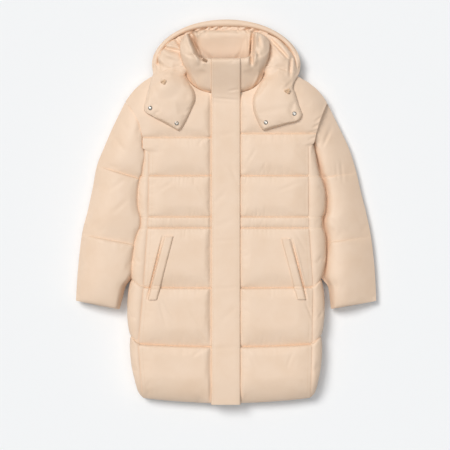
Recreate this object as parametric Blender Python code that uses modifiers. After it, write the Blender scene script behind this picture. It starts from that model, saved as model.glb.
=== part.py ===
"""Hooded, quilted down coat, laid flat on its back with its front up.

The coat is drawn in millimetres and built in metres. +X is towards the wearer's left, +Y runs from the
hem to the hood, and +Z is up from the surface that the coat lies on. Right and left are the wearer's.

Every padded piece is a wall of shell cloth, filling and lining. Its outer face sinks to a seam and
rises to a crown between seams. Pieces stop GAP apart where they are sewn together.
"""

import math
from collections import namedtuple

import bmesh
import bpy
from mathutils import Matrix, Vector
from mathutils.bvhtree import BVHTree

MM = 0.001
MERGE = 0.00002
GAP = 0.3

# Heights above the surface that the coat lies on
BACK_LOFT = 34.0
HOLLOW = 6.0
FRONT_FLOOR = BACK_LOFT + HOLLOW
FOLD_HEIGHT = BACK_LOFT + HOLLOW / 2
QUILT_SEAM_HEIGHT = 60.0
CROWN_HEIGHT = 84.0
CHANNEL_HEIGHT = 68.0
PANEL_SEAM_HEIGHT = 62.0
CENTRE_EDGE_HEIGHT = 62.0
NECK_SEAM_HEIGHT = 66.0
ARMHOLE_HEIGHT = 60.0
SHOULDER_HEIGHT = 44.0
BACK_GROOVE = 6.0
LEAST_WALL = 3.0

# How far from a seam the filling takes to reach its full height
QUILT_ROUNDING = 58.0
EDGE_ROUNDING = 46.0

# Body seams from hem to bust. level: at the centre front; rise: gained at the side panel; lift: gained
# from there to the side fold; side and panel: half widths at the side fold and at the side panel's seam
Seam = namedtuple("Seam", "level rise lift right_side left_side right_panel left_panel")
SEAMS = (
    Seam(-578, 16, 10, 258, 262, 250, 252),
    Seam(-405, 8, 24, 286, 284, 262, 256),
    Seam(-229, 2, 24, 285, 284, 247, 259),
    Seam(-49, 0, 0, 262, 292, 235, 247),
    Seam(-16, 0, 0, 260, 291, 233, 246),
    Seam(107, 0, 0, 258, 283, 231, 246),
)
CHEST_LEVEL = 226.0
RISE_AT = 250.0
CHANNEL_WIDTH = 40.0

# Armholes: underarm and shoulder tip (half width, level), and how far the seam bows towards the body
Armhole = namedtuple("Armhole", "under_x under_y tip_x tip_y bow")
ARMHOLES = {-1: Armhole(250, 187, 304, 330, 18), 1: Armhole(263, 203, 304, 327, 5)}

# Shoulder seams from the tip to the neck
Shoulder = namedtuple("Shoulder", "level right left")
SHOULDERS = (
    Shoulder(330, 304, 303),
    Shoulder(347, 292, 291),
    Shoulder(368, 275, 273),
    Shoulder(390, 250, 246),
    Shoulder(408, 222, 212),
    Shoulder(424, 174, 168),
    Shoulder(437, 134, 130),
)

# Neckline: half a rounded oval open towards the hood
NECK_LEVEL = 440.0
NECK_HALF_WIDTH = 120.0
NECK_DEPTH = 87.0
NECK_ROUNDNESS = 2.4
NECK_SHIFT = -4.0
NECK_CLEARANCE = 1.4
NECK_SAMPLES = (354.0, 357.0, 362.0, 372.0, 388.0, 410.0, 436.0)

# Front edges, zip and placket
FRONT_EDGE = 9.0
ZIP_HEIGHT = 54.0
PLACKET_RIGHT = 45.0
PLACKET_LEFT = 43.0
PLACKET_THICKNESS = 7.0
PLACKET_HEM = 5.0
PLACKET_LOWEST = 76.0
PLACKET_CLEARANCE = 0.8
STRIP_EASE = 1.5

# Rows across a chamber and columns across a panel, as shares
CHAMBER_ROWS = (0.0, 0.09, 0.28, 0.72, 0.91)
CHANNEL_ROWS = (0.0, 0.5)
PANEL_COLUMNS = (0.0, 0.05, 0.17, 0.5, 0.83, 0.95, 1.0)
SLEEVE_ROWS = (0.0, 0.09, 0.28, 0.5, 0.72, 0.91)
SLEEVE_COLUMNS = (0.0, 0.06, 0.22, 0.5, 0.78, 0.94, 1.0)

# Levels of further rows: from the bust seam to the underarm, at the chest seam, round the neckline
BUST_ROWS = (118.0, 150.0)
CHEST_ROWS = (CHEST_LEVEL - 10.0, CHEST_LEVEL, CHEST_LEVEL + 10.0)
NECK_ROWS = (354.5, 360.0, 378.0)
PLACKET_ROWS = (150.0, 185.0, 270.0, 315.0, 342.0)

# Side panels: shares from seam to fold on the outer face, and on the underside with their heights
SIDE_BULGE = 12.0
SIDE_BULGE_POWER = 0.6
SIDE_WALL = 14.0
SIDE_COLUMNS = (0.25, 0.6, 0.88)
SIDE_UNDERSIDE = ((0.88, 13.0), (0.6, 0.0))
UNDERARM_STEP = 3.5
SIDE_CROWN = 76.0

# Shoulders and edges of the back
SHOULDER_UNDERSIDE = 14.0
RIM_WIDTH = 10.0
EDGE_INSET = 14.0

# Sleeves: inner and outer end of lines across them, at shares of the way from the armhole to the cuff
Station = namedtuple("Station", "share inner_x inner_y outer_x outer_y")
SLEEVES = {
    -1: (
        Station(0.00, 250, 187, 304, 330),
        Station(0.10, 257, 150, 341, 254),
        Station(0.22, 260, 120, 370, 187),
        Station(0.34, 262, 96, 389, 138),
        Station(0.46, 270, 50, 401, 75),
        Station(0.57, 266, -15, 416, 5),
        Station(0.68, 283, -100, 434, -68),
        Station(0.84, 295, -190, 446, -175),
        Station(1.00, 320, -292, 452, -266),
    ),
    1: (
        Station(0.00, 263, 203, 304, 327),
        Station(0.10, 268, 165, 341, 252),
        Station(0.22, 275, 128, 371, 187),
        Station(0.34, 286, 100, 392, 118),
        Station(0.46, 292, 55, 405, 62),
        Station(0.57, 294, -10, 422, -5),
        Station(0.68, 300, -94, 436, -75),
        Station(0.84, 303, -185, 447, -170),
        Station(1.00, 315, -291, 452, -267),
    ),
}
SLEEVE_SEAMS = (0.0, 0.34, 0.68, 1.0)
SLEEVE_LENGTH = 520.0
SLEEVE_CLEARANCE = 2.5
SLEEVE_GAP = 0.6
SLEEVE_EDGE = 5.0
SLEEVE_TOP_POWER = 2.6
SLEEVE_UNDER_POWER = 6.0
SLEEVE_UNDER_FROM = 0.7
SLOT_START = 0.2

# Collar rings from the neck seam to the rim. level: of the widest points; front and back: reach from there
CollarRing = namedtuple("CollarRing", "level half_width front back front_height back_height wall roundness")
COLLAR = (
    CollarRing(440, 111, 84, 2, 57, 36, 18, 2.4),
    CollarRing(450, 107, 78, 9, 71, 41, 26, 2.5),
    CollarRing(475, 116, 60, 22, 88, 44, 30, 2.7),
    CollarRing(498, 118, 49, 32, 100, 46, 30, 2.9),
    CollarRing(507, 118, 45, 35, 104, 47, 22, 3.0),
)
COLLAR_RIM = CollarRing(510, 118, 45, 36, 105, 47, 8, 3.0)
COLLAR_LEAN = 0.3
COLLAR_SECTIONS = 26

# Pocket welts
Welt = namedtuple("Welt", "top_x top_y bottom_x bottom_y width")
WELTS = {-1: Welt(172, -74, 221, -263, 29), 1: Welt(179, -82, 226, -262, 28)}
WELT_ROWS = 8
WELT_COLUMNS = (-0.5, -0.3, 0.3, 0.5)
WELT_LOWEST = 77.0
WELT_THICKNESS = 5.0
WELT_CLEARANCE = 0.8

# Hood: its outline is an oval round the neck; flaps are rows from the shoulder to the flap's end
HOOD_HALF_WIDTH = 223.0
HOOD_REACH = 138.0
HOOD_SECTIONS = 6
HOOD_COLUMNS = (0.0, 0.12, 0.45, 0.8, 1.0)
HOOD_UNDER = 21.0
HOOD_LEDGE = 40.0
HOOD_LOFT = 22.0
HOOD_FULL_WIDTH = 60.0
HOOD_LEAST_LOFT = 8.0
HOOD_ROUNDING = 0.35
HOOD_CLOTH = 4.0
HOOD_SLOPE = 30.0
HOOD_TURN_UP = 8.0
COLLAR_GAP_SHARE = 0.006

# Crown panel: it reaches under the collar; its seams point to one spot on the centre line
CROWN_HALF_ANGLE = 38.0
CROWN_SEAM_ANGLE = 0.2
SIDE_END_ANGLE = 100.0
CROWN_SECTIONS = 8
CROWN_START = 5.0
CROWN_STEP = 0.04
FAN_DROP = 45.0
FAN_RANGE = 25.0

# Brim
BRIM_SECTIONS = 30
BRIM_SIDES = 8
BRIM_WIDTH = 17.0
BRIM_EXTRA = 6.0
BRIM_EXTRA_POWER = 8
BRIM_HEIGHT = 17.0
BRIM_SINK = 0.3
BRIM_LIFT = 7.0
BRIM_UNDER = (0.0, 0.5, 1.0, 1.3)
BRIM_END = 6.0
BRIM_END_TAPER = 0.55
BRIM_EDGE = 1.0

# Throat flaps
FLAP_CLEARANCE = 0.9
GROUND_REACH = 10.0
FLAP_LOFT = 11.0
FLAP_ROUNDING = 22.0
FLAP_BODY = 0.96
FlapRow = namedtuple("FlapRow", "inner_x inner_y outer_x outer_y")
FLAPS = {
    -1: (
        FlapRow(126, 428, 222, 420),
        FlapRow(123, 410, 223, 405),
        FlapRow(112, 386, 229, 380),
        FlapRow(97, 362, 236, 352),
        FlapRow(93, 334, 242, 328),
        FlapRow(106, 300, 246, 312),
        FlapRow(121, 268, 245, 302),
        FlapRow(134, 247, 240, 296),
        FlapRow(142, 241, 232, 290),
    ),
    1: (
        FlapRow(118, 428, 217, 416),
        FlapRow(115, 410, 206, 392),
        FlapRow(104, 388, 199, 371),
        FlapRow(90, 362, 207, 352),
        FlapRow(79, 335, 214, 328),
        FlapRow(82, 300, 222, 305),
        FlapRow(94, 268, 228, 289),
        FlapRow(106, 247, 222, 276),
        FlapRow(114, 242, 212, 270),
    ),
}

# Zip
ZIP_START = 3.0
ZIP_TURN = 346.0
ZIP_TAPE = 2.0
ZIP_CHAIN_WIDTH = 6.0
ZIP_CHAIN_RISE = 2.0
ZIP_SINK = 6.0
SLIDER_LEVEL = 432.0
SLIDER_SIZE = (9.0, 12.0, 4.0)
SLIDER_SEAT = 0.4
PULL_OFFSET = 12.0
PULL_SIZE = (6.0, 26.0, 1.5)
SLIDER_EASE = 0.6
PULL_EASE = 0.4
ZIP_END_EASE = 0.5
ZIP_END_SIZE = (14.0, 7.0, 3.0)
ZIP_END_PLACE = (-64.0, 450.0)
ZIP_END_TURN = -0.5

# Press studs (x, level, kind) and eyelets on the flaps; profiles are radii and heights, outwards and down
STUDS = (
    ("right_outer", -226.5, 309.0, "cap"),
    ("right_inner", -148.0, 264.0, "socket"),
    ("left_outer", 203.0, 292.0, "socket"),
    ("left_inner", 118.0, 266.0, "socket"),
)
STUD_PROFILES = {
    "cap": ((0, 3.6), (3.5, 3.3), (5.6, 2.3), (6.4, 1.0), (6.4, 0.0), (0, 0.0)),
    "socket": ((0, 1.0), (2.4, 1.0), (2.8, 2.8), (4.6, 2.8), (6.4, 1.4), (6.4, 0.0), (0, 0.0)),
}
EYELETS = {-1: (-186.0, 386.0), 1: (183.0, 359.0)}
EYELET_PROFILE = ((0, 0.8), (3.0, 0.8), (3.6, 2.2), (5.0, 2.2), (6.0, 1.0), (6.0, 0.0), (0, 0.0))
KNOT_PROFILE = ((0, 4.6), (1.8, 4.0), (2.6, 2.4), (1.8, 0.8), (0, 0.3))
KNOT_LIFT = 0.8
STUD_RADIUS = 6.4
STUD_STEPS = 16
EYELET_STEPS = 14
KNOT_STEPS = 10
SEAT = 0.35
SEAT_SAMPLES = 16
ABOVE_ALL = 200.0

SHELL_COLOUR = (0.80, 0.62, 0.47)
SHELL_SHADE = (0.74, 0.56, 0.42)
METAL_COLOUR = (0.62, 0.58, 0.52)
ZIP_COLOUR = (0.45, 0.32, 0.24)
CORD_COLOUR = (0.62, 0.48, 0.37)


def material(name, colour, roughness, metallic=0.0):
    """A plain Principled material."""
    made = bpy.data.materials.new(name)
    made.use_nodes = True
    shader = made.node_tree.nodes["Principled BSDF"]
    shader.inputs["Base Color"].default_value = (*colour, 1.0)
    shader.inputs["Roughness"].default_value = roughness
    shader.inputs["Metallic"].default_value = metallic
    return made


def piece(name, bm, finish):
    """Put a finished mesh in the coat's collection as one object."""
    bmesh.ops.recalc_face_normals(bm, faces=bm.faces)
    mesh = bpy.data.meshes.new(name)
    bm.to_mesh(mesh)
    bm.free()
    mesh.materials.append(finish)
    made = bpy.data.objects.new(name, mesh)
    bpy.data.collections["quilted_coat"].objects.link(made)
    return made


def loft(name, rings, finish, curved_ends=False):
    """Join unlike sections of equal count into one closed solid.

    A curved end bends in plan, so it is closed by strips between the two halves of its section.
    """
    bm = bmesh.new()
    loops = [[bm.verts.new(Vector(point) * MM) for point in ring] for ring in rings]
    for low, high in zip(loops, loops[1:]):
        for i in range(len(low)):
            j = (i + 1) % len(low)
            bm.faces.new((low[i], low[j], high[j], high[i]))
    for end in (loops[0], loops[-1]):
        if curved_ends:
            for i in range(len(end) // 2 - 1):
                bm.faces.new((end[i], end[i + 1], end[-2 - i], end[-1 - i]))
        else:
            bm.faces.new(end)
    return piece(name, bm, finish)


def read(table, value, column):
    """A column of a table at a value of its first column, straight between rows."""
    low, high = table[0], table[1]
    for low, high in zip(table, table[1:]):
        if value <= high[0]:
            break
    share = (value - low[0]) / (high[0] - low[0])
    return getattr(low, column) + share * (getattr(high, column) - getattr(low, column))


def rounding(distance, reach):
    """Share of the full height that filling has at a distance from a seam: a quarter circle."""
    share = min(max(distance / reach, 0.0), 1.0)
    return math.sqrt(1.0 - (1.0 - share) ** 2)


def wearer(side):
    """The name of a side: -1 is the wearer's right, 1 the left."""
    return "right" if side < 0 else "left"


def body_level(level, x):
    """Where a line across the body at a level lies at x."""
    if level >= SEAMS[-1].level:
        return level
    return level + read(SEAMS, level, "rise") * min(abs(x) / RISE_AT, 1.0) ** 2


def panel_x(side, level):
    """Half width at the side panel's seam."""
    return read(SEAMS, level, wearer(side) + "_panel")


def side_x(side, level):
    """Half width at the side fold, which swells between quilt seams."""
    arm = ARMHOLES[side]
    top = SEAMS[-1]
    column = wearer(side) + "_side"
    if level >= top.level:
        share = (level - top.level) / (arm.under_y - top.level)
        return getattr(top, column) + share * (arm.under_x - getattr(top, column))
    half_width = read(SEAMS, level, column)
    for low, high in zip(SEAMS, SEAMS[1:]):
        if low.level <= level <= high.level and high.level - low.level > CHANNEL_WIDTH:
            share = (level - low.level) / (high.level - low.level)
            half_width += SIDE_BULGE * (4.0 * share * (1.0 - share)) ** SIDE_BULGE_POWER
    return half_width


def arm_point(side, share):
    """A point of the armhole seam, from the underarm (0) to the shoulder tip (1), as half width and level."""
    arm = ARMHOLES[side]
    run_x, run_y = arm.tip_x - arm.under_x, arm.tip_y - arm.under_y
    bow = arm.bow * 4.0 * share * (1.0 - share) / math.hypot(run_x, run_y)
    return arm.under_x + share * run_x - bow * run_y, arm.under_y + share * run_y + bow * run_x


def upper_outline(side):
    """Points of the armhole and the shoulder seam, from the underarm to the neck."""
    points = [arm_point(side, share) for share in SLEEVE_COLUMNS]
    points += [(getattr(row, wearer(side)), row.level) for row in SHOULDERS[1:]]
    return points


def upper_x(side, level):
    """Half width at the armhole or the shoulder seam."""
    points = upper_outline(side)
    for (low_x, low_y), (high_x, high_y) in zip(points, points[1:]):
        if level <= high_y:
            break
    share = (level - low_y) / (high_y - low_y)
    return low_x + share * (high_x - low_x)


def neck_x(side, level):
    """x of the neckline's cut at a level, or None below it."""
    depth = (NECK_LEVEL - level) / (NECK_DEPTH + NECK_CLEARANCE)
    if depth >= 1.0:
        return None
    reach = (1.0 - max(depth, 0.0) ** NECK_ROUNDNESS) ** (1.0 / NECK_ROUNDNESS)
    return NECK_SHIFT + side * (NECK_HALF_WIDTH + NECK_CLEARANCE) * reach


def distance_to_line(x, y, points):
    """Shortest distance from a point to a run of straight pieces."""
    best = math.inf
    for (ax, ay), (bx, by) in zip(points, points[1:]):
        run_x, run_y = bx - ax, by - ay
        share = ((x - ax) * run_x + (y - ay) * run_y) / (run_x * run_x + run_y * run_y)
        share = min(max(share, 0.0), 1.0)
        best = min(best, math.hypot(x - ax - share * run_x, y - ay - share * run_y))
    return best


def front_top(x, y):
    """Height of a front's outer face."""
    side = -1 if x < 0 else 1
    half = abs(x)

    def above(seam_height, distance, reach):
        return seam_height + (CROWN_HEIGHT - seam_height) * rounding(distance, reach)

    heights = [above(CENTRE_EDGE_HEIGHT, half - FRONT_EDGE, EDGE_ROUNDING)]
    levels = [body_level(seam.level, x) for seam in SEAMS] + [CHEST_LEVEL]
    heights += [above(QUILT_SEAM_HEIGHT, abs(y - level), QUILT_ROUNDING) for level in levels]
    if SEAMS[3].level < y < SEAMS[4].level:
        heights.append(CHANNEL_HEIGHT)
    outline = upper_outline(side)
    if y < outline[0][1]:
        heights.append(above(PANEL_SEAM_HEIGHT, panel_x(side, y) - half, EDGE_ROUNDING))
    heights.append(above(ARMHOLE_HEIGHT, distance_to_line(half, y, outline[:7]), EDGE_ROUNDING))
    heights.append(above(SHOULDER_HEIGHT, distance_to_line(half, y, outline[6:]), EDGE_ROUNDING))
    neck = [(abs(neck_x(side, level)), level) for level in NECK_SAMPLES]
    heights.append(above(NECK_SEAM_HEIGHT, distance_to_line(half, y, neck), EDGE_ROUNDING))
    return min(heights)


def chamber_levels():
    """Levels of the rows from the hem to the bust seam."""
    levels = []
    for low, high in zip(SEAMS, SEAMS[1:]):
        run = high.level - low.level
        shares = CHAMBER_ROWS if run > CHANNEL_WIDTH else CHANNEL_ROWS
        levels += [low.level + run * share for share in shares]
    return levels + [SEAMS[-1].level]


def front_levels(side):
    """Levels of a front's rows: chambers, then armhole, chest seam, shoulder and neckline."""
    levels = [*chamber_levels(), *BUST_ROWS, ARMHOLES[side].under_y - UNDERARM_STEP, *CHEST_ROWS, *NECK_ROWS]
    levels += [y for x, y in upper_outline(side)]
    return sorted(levels)


def front(side, finish):
    """A front: flat lining face over the hollow, quilted outer face."""
    arm = ARMHOLES[side]
    rings = []
    for level in front_levels(side):
        if level < arm.under_y - GAP:
            outer = panel_x(side, level) - GAP
        else:
            outer = upper_x(side, level)
        neck = neck_x(side, level)
        inner = FRONT_EDGE if neck is None else max(FRONT_EDGE, side * neck)
        top = []
        for share in PANEL_COLUMNS:
            x = side * (inner + share * (outer - inner))
            y = body_level(level, x)
            top.append((x, y, max(front_top(x, y), FRONT_FLOOR + LEAST_WALL)))
        bottom = [(x, y, FRONT_FLOOR) for x, y, z in (top[-1], top[0])]
        rings.append(top + bottom)
    return loft("front_" + wearer(side), rings, finish)


def side_lift(side, level, x):
    """How far a level has risen at x on a side panel."""
    if level >= SEAMS[-1].level:
        return 0.0
    seam, fold = panel_x(side, level), side_x(side, level)
    return read(SEAMS, level, "lift") * min(max((x - seam) / (fold - seam), 0.0), 1.0)


def side_crown(level):
    """Height of the outer face of a side panel, away from its seams."""
    distance = min(abs(level - seam.level) for seam in SEAMS)
    if SEAMS[3].level < level < SEAMS[4].level:
        return CHANNEL_HEIGHT
    return QUILT_SEAM_HEIGHT + (SIDE_CROWN - QUILT_SEAM_HEIGHT) * rounding(distance, QUILT_ROUNDING)


def side_panel(side, finish):
    """A side panel folded round the side of the body, its two halves a hollow apart."""
    seam_levels = [seam.level for seam in SEAMS]
    rings = []
    for level in (*chamber_levels(), *BUST_ROWS, ARMHOLES[side].under_y - UNDERARM_STEP - GAP):
        seam, fold = panel_x(side, level) + GAP, side_x(side, level)
        start = body_level(level, seam)
        crown = side_crown(level)
        groove = BACK_GROOVE if level in seam_levels else 0.0
        slot = max(seam + LEAST_WALL, fold - SIDE_WALL)
        section = [(seam, min(PANEL_SEAM_HEIGHT, crown))]
        for share in SIDE_COLUMNS:
            height = FOLD_HEIGHT + (crown - FOLD_HEIGHT) * math.sqrt(1.0 - share**3)
            section.append((seam + share * (fold - seam), height))
        section.append((fold, FOLD_HEIGHT))
        section += [(seam + share * (fold - seam), groove + height) for share, height in SIDE_UNDERSIDE]
        section += [(seam, groove), (seam, BACK_LOFT), (slot, BACK_LOFT)]
        section += [(slot, FRONT_FLOOR), (seam, FRONT_FLOOR)]
        rings.append([(side * x, start + side_lift(side, level, x), z) for x, z in section])
    return loft("side_" + wearer(side), rings, finish)


def back(finish):
    """The back: flat where it rests, grooved at its quilt seams, flat towards the hollow."""
    levels = {*chamber_levels(), *BUST_ROWS, *CHEST_ROWS}
    for side in (-1, 1):
        levels |= {y for x, y in upper_outline(side)} | {ARMHOLES[side].under_y - UNDERARM_STEP}
    rings = []
    seam_levels = [seam.level for seam in SEAMS] + [CHEST_LEVEL]
    for level in sorted(levels):
        edges = []
        for side in (-1, 1):
            below = level < ARMHOLES[side].under_y - GAP
            edges.append(side * (panel_x(side, level) - GAP if below else upper_x(side, level)))
        right, left = edges
        groove = BACK_GROOVE if level in seam_levels else 0.0
        above_tip = level > ARMHOLES[-1].tip_y
        rim = FRONT_FLOOR - GAP if above_tip else BACK_LOFT
        edge = SHOULDER_UNDERSIDE if above_tip else groove
        section = [(right, rim), (right + RIM_WIDTH, BACK_LOFT), (left - RIM_WIDTH, BACK_LOFT), (left, rim)]
        section += [(left, edge), (left - EDGE_INSET, groove), (right + EDGE_INSET, groove), (right, edge)]
        rings.append([(x, body_level(level, x), z) for x, z in section])
    return loft("back", rings, finish)


def sleeve_row(side, share):
    """Inner and outer end of a line across a sleeve, at a share of the way from armhole to cuff."""
    row = [read(SLEEVES[side], share, column) for column in ("inner_x", "inner_y", "outer_x", "outer_y")]
    inner_x, inner_y, outer_x, outer_y = row
    if share > 0.0 and inner_y > SEAMS[2].level:
        fold_level = inner_y - (read(SEAMS, inner_y, "lift") if inner_y < SEAMS[-1].level else 0.0)
        inner_x = max(inner_x, side_x(side, fold_level) + SLEEVE_CLEARANCE)
    return inner_x, inner_y, outer_x, outer_y


def sleeve_point(side, share, across):
    """Plan position on a sleeve: share runs from armhole to cuff, across from inner to outer edge."""
    inner_x, inner_y, outer_x, outer_y = sleeve_row(side, share)
    run_x, run_y = outer_x - inner_x, outer_y - inner_y
    length = math.hypot(run_x, run_y)
    bow = ARMHOLES[side].bow * max(1.0 - share / SLEEVE_SEAMS[1], 0.0) * 4.0 * across * (1.0 - across)
    x = inner_x + across * run_x - bow * run_y / length
    return side * (x + SLEEVE_GAP), inner_y + across * run_y + bow * run_x / length


def slot_point(side, share, across):
    """Plan position on the straight pieces between a sleeve row's columns."""
    for low, high in zip(SLEEVE_COLUMNS, SLEEVE_COLUMNS[1:]):
        if across <= high:
            break
    (low_x, low_y), (high_x, high_y) = sleeve_point(side, share, low), sleeve_point(side, share, high)
    part = (across - low) / (high - low)
    return low_x + part * (high_x - low_x), low_y + part * (high_y - low_y)


def sleeve_face(share, across, upper):
    """Height of a sleeve's outer face: the quilted top, or the underside with its grooves."""
    spread = abs(2.0 * across - 1.0)
    if upper:
        distance = min(abs(share - seam) for seam in SLEEVE_SEAMS) * SLEEVE_LENGTH
        height = QUILT_SEAM_HEIGHT + (CROWN_HEIGHT - QUILT_SEAM_HEIGHT) * rounding(distance, QUILT_ROUNDING)
        edge = FOLD_HEIGHT + SLEEVE_EDGE
        return edge + (height - edge) * math.sqrt(1.0 - spread**SLEEVE_TOP_POWER)
    groove = BACK_GROOVE if share in SLEEVE_SEAMS else 0.0
    if spread < SLEEVE_UNDER_FROM:
        return groove
    return max((FOLD_HEIGHT - SLEEVE_EDGE) * (1.0 - math.sqrt(1.0 - spread**SLEEVE_UNDER_POWER)), groove)


def sleeve_half(side, upper, finish):
    """The top or the under half of a sleeve pressed flat. The halves meet at both edges, round the hollow."""
    shares = []
    for low, high in zip(SLEEVE_SEAMS, SLEEVE_SEAMS[1:]):
        shares += [low + (high - low) * step for step in SLEEVE_ROWS]
    shares.append(SLEEVE_SEAMS[-1])
    parting = FOLD_HEIGHT + (GAP / 2 if upper else -GAP / 2)
    hollow = FRONT_FLOOR if upper else BACK_LOFT
    wall = [(0.0, parting), (SLOT_START, parting), (SLOT_START, hollow), (0.5, hollow)]
    wall += [(1.0 - across, height) for across, height in reversed(wall[:-1])]
    rings = []
    for share in shares:
        face = []
        for across in SLEEVE_COLUMNS:
            face.append((*sleeve_point(side, share, across), sleeve_face(share, across, upper)))
        inside = [(*slot_point(side, share, across), height) for across, height in wall]
        rings.append(face + inside[::-1])
    half = "_top" if upper else "_under"
    return loft("sleeve_" + wearer(side) + half, rings, finish, curved_ends=True)


def collar_point(ring, angle, depth):
    """A point of the collar. depth is +0.5 on the outer face, -0.5 on the inner face."""
    cos, sin = math.cos(angle), math.sin(angle)
    across = math.copysign(abs(cos) ** (2.0 / ring.roundness), cos)
    along = math.copysign(abs(sin) ** (2.0 / ring.roundness), sin)
    middle = (ring.front_height + ring.back_height) / 2.0
    x = NECK_SHIFT + (ring.half_width + depth * ring.wall) * across
    if along > 0.0:
        y = ring.level - (ring.front + COLLAR_LEAN * depth * ring.wall) * along
        z = middle + (ring.front_height - middle + depth * ring.wall) * along
    else:
        y = ring.level - ring.back * along
        z = middle + (middle - ring.back_height + depth * ring.wall) * along
    return x, y, z


def collar(finish):
    """The stand collar: a padded band from one front edge round the neck to the other."""
    sections = []
    for step in range(COLLAR_SECTIONS + 1):
        angle = math.pi / 2 + step * 2 * math.pi / COLLAR_SECTIONS
        outer = [collar_point(ring, angle, 0.5) for ring in COLLAR]
        inner = [collar_point(ring, angle, -0.5) for ring in reversed(COLLAR)]
        section = outer + [collar_point(COLLAR_RIM, angle, 0.0)] + inner
        if step in (0, COLLAR_SECTIONS):
            edge = math.copysign(FRONT_EDGE + GAP, step - 1)
            section = [(edge, y, z) for x, y, z in section]
        sections.append(section)
    return loft("collar", sections, finish)


def on_collar(x, y):
    """Whether a plan position lies under or over the collar."""
    for ring in COLLAR:
        across = abs(x - NECK_SHIFT) / (ring.half_width + ring.wall / 2)
        reach = ring.front + COLLAR_LEAN * ring.wall / 2 if y < ring.level else ring.back
        if across**ring.roundness + (abs(y - ring.level) / reach) ** ring.roundness < 1.0:
            return True
    return False


def strip_section(points, thickness):
    """A flat strip's closed section over the given floor points, its upper edges eased."""
    top = []
    for point in points:
        x, y, z = point
        ease = STRIP_EASE if point in (points[0], points[-1]) else 0.0
        top.append((x, y, z + thickness - ease))
    return top + points[::-1]


def placket(finish):
    """The storm placket: a flat strip that lies on the fronts and on the collar, over the zip."""
    columns = (-PLACKET_RIGHT, PLACKET_HEM - PLACKET_RIGHT, 0.0, PLACKET_LEFT - PLACKET_HEM, PLACKET_LEFT)
    floor = []
    for level in sorted((*chamber_levels(), *CHEST_ROWS, *PLACKET_ROWS)):
        height = max(front_top(x, level) for x in (-PLACKET_RIGHT, PLACKET_LEFT))
        floor.append((level, max(height, PLACKET_LOWEST)))
    for ring in COLLAR[1:]:
        x, y, z = collar_point(ring, math.pi / 2, 0.5)
        floor.append((y, z))
    rings = []
    for level, height in floor:
        points = [(x, level, height + PLACKET_CLEARANCE) for x in columns]
        rings.append(strip_section(points, PLACKET_THICKNESS))
    return loft("placket", rings, finish)


def welt(side, finish):
    """A pocket welt, slanted across the front and its quilt seam."""
    ends = WELTS[side]
    rings = []
    for step in range(WELT_ROWS + 1):
        share = step / WELT_ROWS
        centre = ends.top_x + share * (ends.bottom_x - ends.top_x)
        y = ends.top_y + share * (ends.bottom_y - ends.top_y)
        points = []
        for offset in WELT_COLUMNS:
            x = side * (centre + offset * ends.width)
            points.append((x, y, max(front_top(x, y), WELT_LOWEST) + WELT_CLEARANCE))
        rings.append(strip_section(points, WELT_THICKNESS))
    return loft("welt_" + wearer(side), rings, finish)


def hood_rim(angle):
    """A point of the hood's outline, an oval round the neck."""
    return HOOD_HALF_WIDTH * math.cos(angle), NECK_LEVEL + HOOD_REACH * math.sin(angle)


def support(x, y):
    """Height at a point of what a hood panel lies on: the table, the slope over the shoulder, or a front."""
    side = -1 if x < 0 else 1
    outline = upper_outline(side)[6:]
    half = abs(x)
    inside = y <= outline[-1][1] and half <= upper_x(side, max(y, outline[0][1]))
    if inside:
        return front_top(x, y) + FLAP_CLEARANCE
    beyond = distance_to_line(half, y, outline)
    return max(0.0, (SHOULDER_HEIGHT + 2 * FLAP_CLEARANCE) * (1.0 - beyond / HOOD_SLOPE))


def ground(x, y):
    """Highest support near a point, so that a panel's straight pieces clear what they bridge."""
    steps = (-GROUND_REACH, 0.0, GROUND_REACH)
    return max(support(x + dx, y + dy) for dx in steps for dy in steps)


def between(inner, outer, share):
    """Plan position at a share of the way between two others."""
    return inner[0] + share * (outer[0] - inner[0]), inner[1] + share * (outer[1] - inner[1])


def turned_up(height):
    """An edge's underside: lifted where it would lie on the table."""
    return height + HOOD_TURN_UP if height < HOOD_TURN_UP else height


def hood_section(inner, outer):
    """A closed section of the hood from the collar to the rim, with a ledge for the brim."""
    run = math.hypot(outer[0] - inner[0], outer[1] - inner[1])
    body = run - BRIM_WIDTH
    floor, top = [], []
    for distance in [body * share for share in HOOD_COLUMNS] + [run]:
        x, y = between(inner, outer, distance / run)
        low = ground(x, y)
        crown = rounding(min(distance, body - distance), HOOD_ROUNDING * body)
        loft_height = HOOD_LEDGE + HOOD_LOFT * crown * min(body / HOOD_FULL_WIDTH, 1.0)
        top.append((x, y, max(loft_height, low + HOOD_CLOTH + HOOD_LEAST_LOFT * crown)))
        floor.append((x, y, turned_up(low) if distance == run else low))
    return top + floor[::-1]


def flap_section(inner, outer):
    """A closed section across a throat flap, on the front under it."""
    run = math.hypot(outer[0] - inner[0], outer[1] - inner[1])
    body = run * FLAP_BODY
    floor, top = [], []
    for distance in [body * share for share in HOOD_COLUMNS] + [run]:
        x, y = between(inner, outer, distance / run)
        low = ground(x, y)
        crown = rounding(min(distance, run - distance), FLAP_ROUNDING)
        floor.append((x, y, low))
        top.append((x, y, low + HOOD_CLOTH + FLAP_LOFT * crown))
    return top + floor[::-1]


def fan_level(angle):
    """Level on the centre line that a hood seam at an angle from +Y points to."""
    beyond = max(math.degrees(angle) - CROWN_HALF_ANGLE, 0.0)
    return NECK_LEVEL - FAN_DROP * max(1.0 - beyond / FAN_RANGE, 0.0)


def clear_of_collar(inner, outer):
    """Share of the way between two plan positions at which the line leaves the collar."""
    share = 0.0
    while on_collar(*between(inner, outer, share)):
        share += COLLAR_GAP_SHARE
    return share + COLLAR_GAP_SHARE


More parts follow.
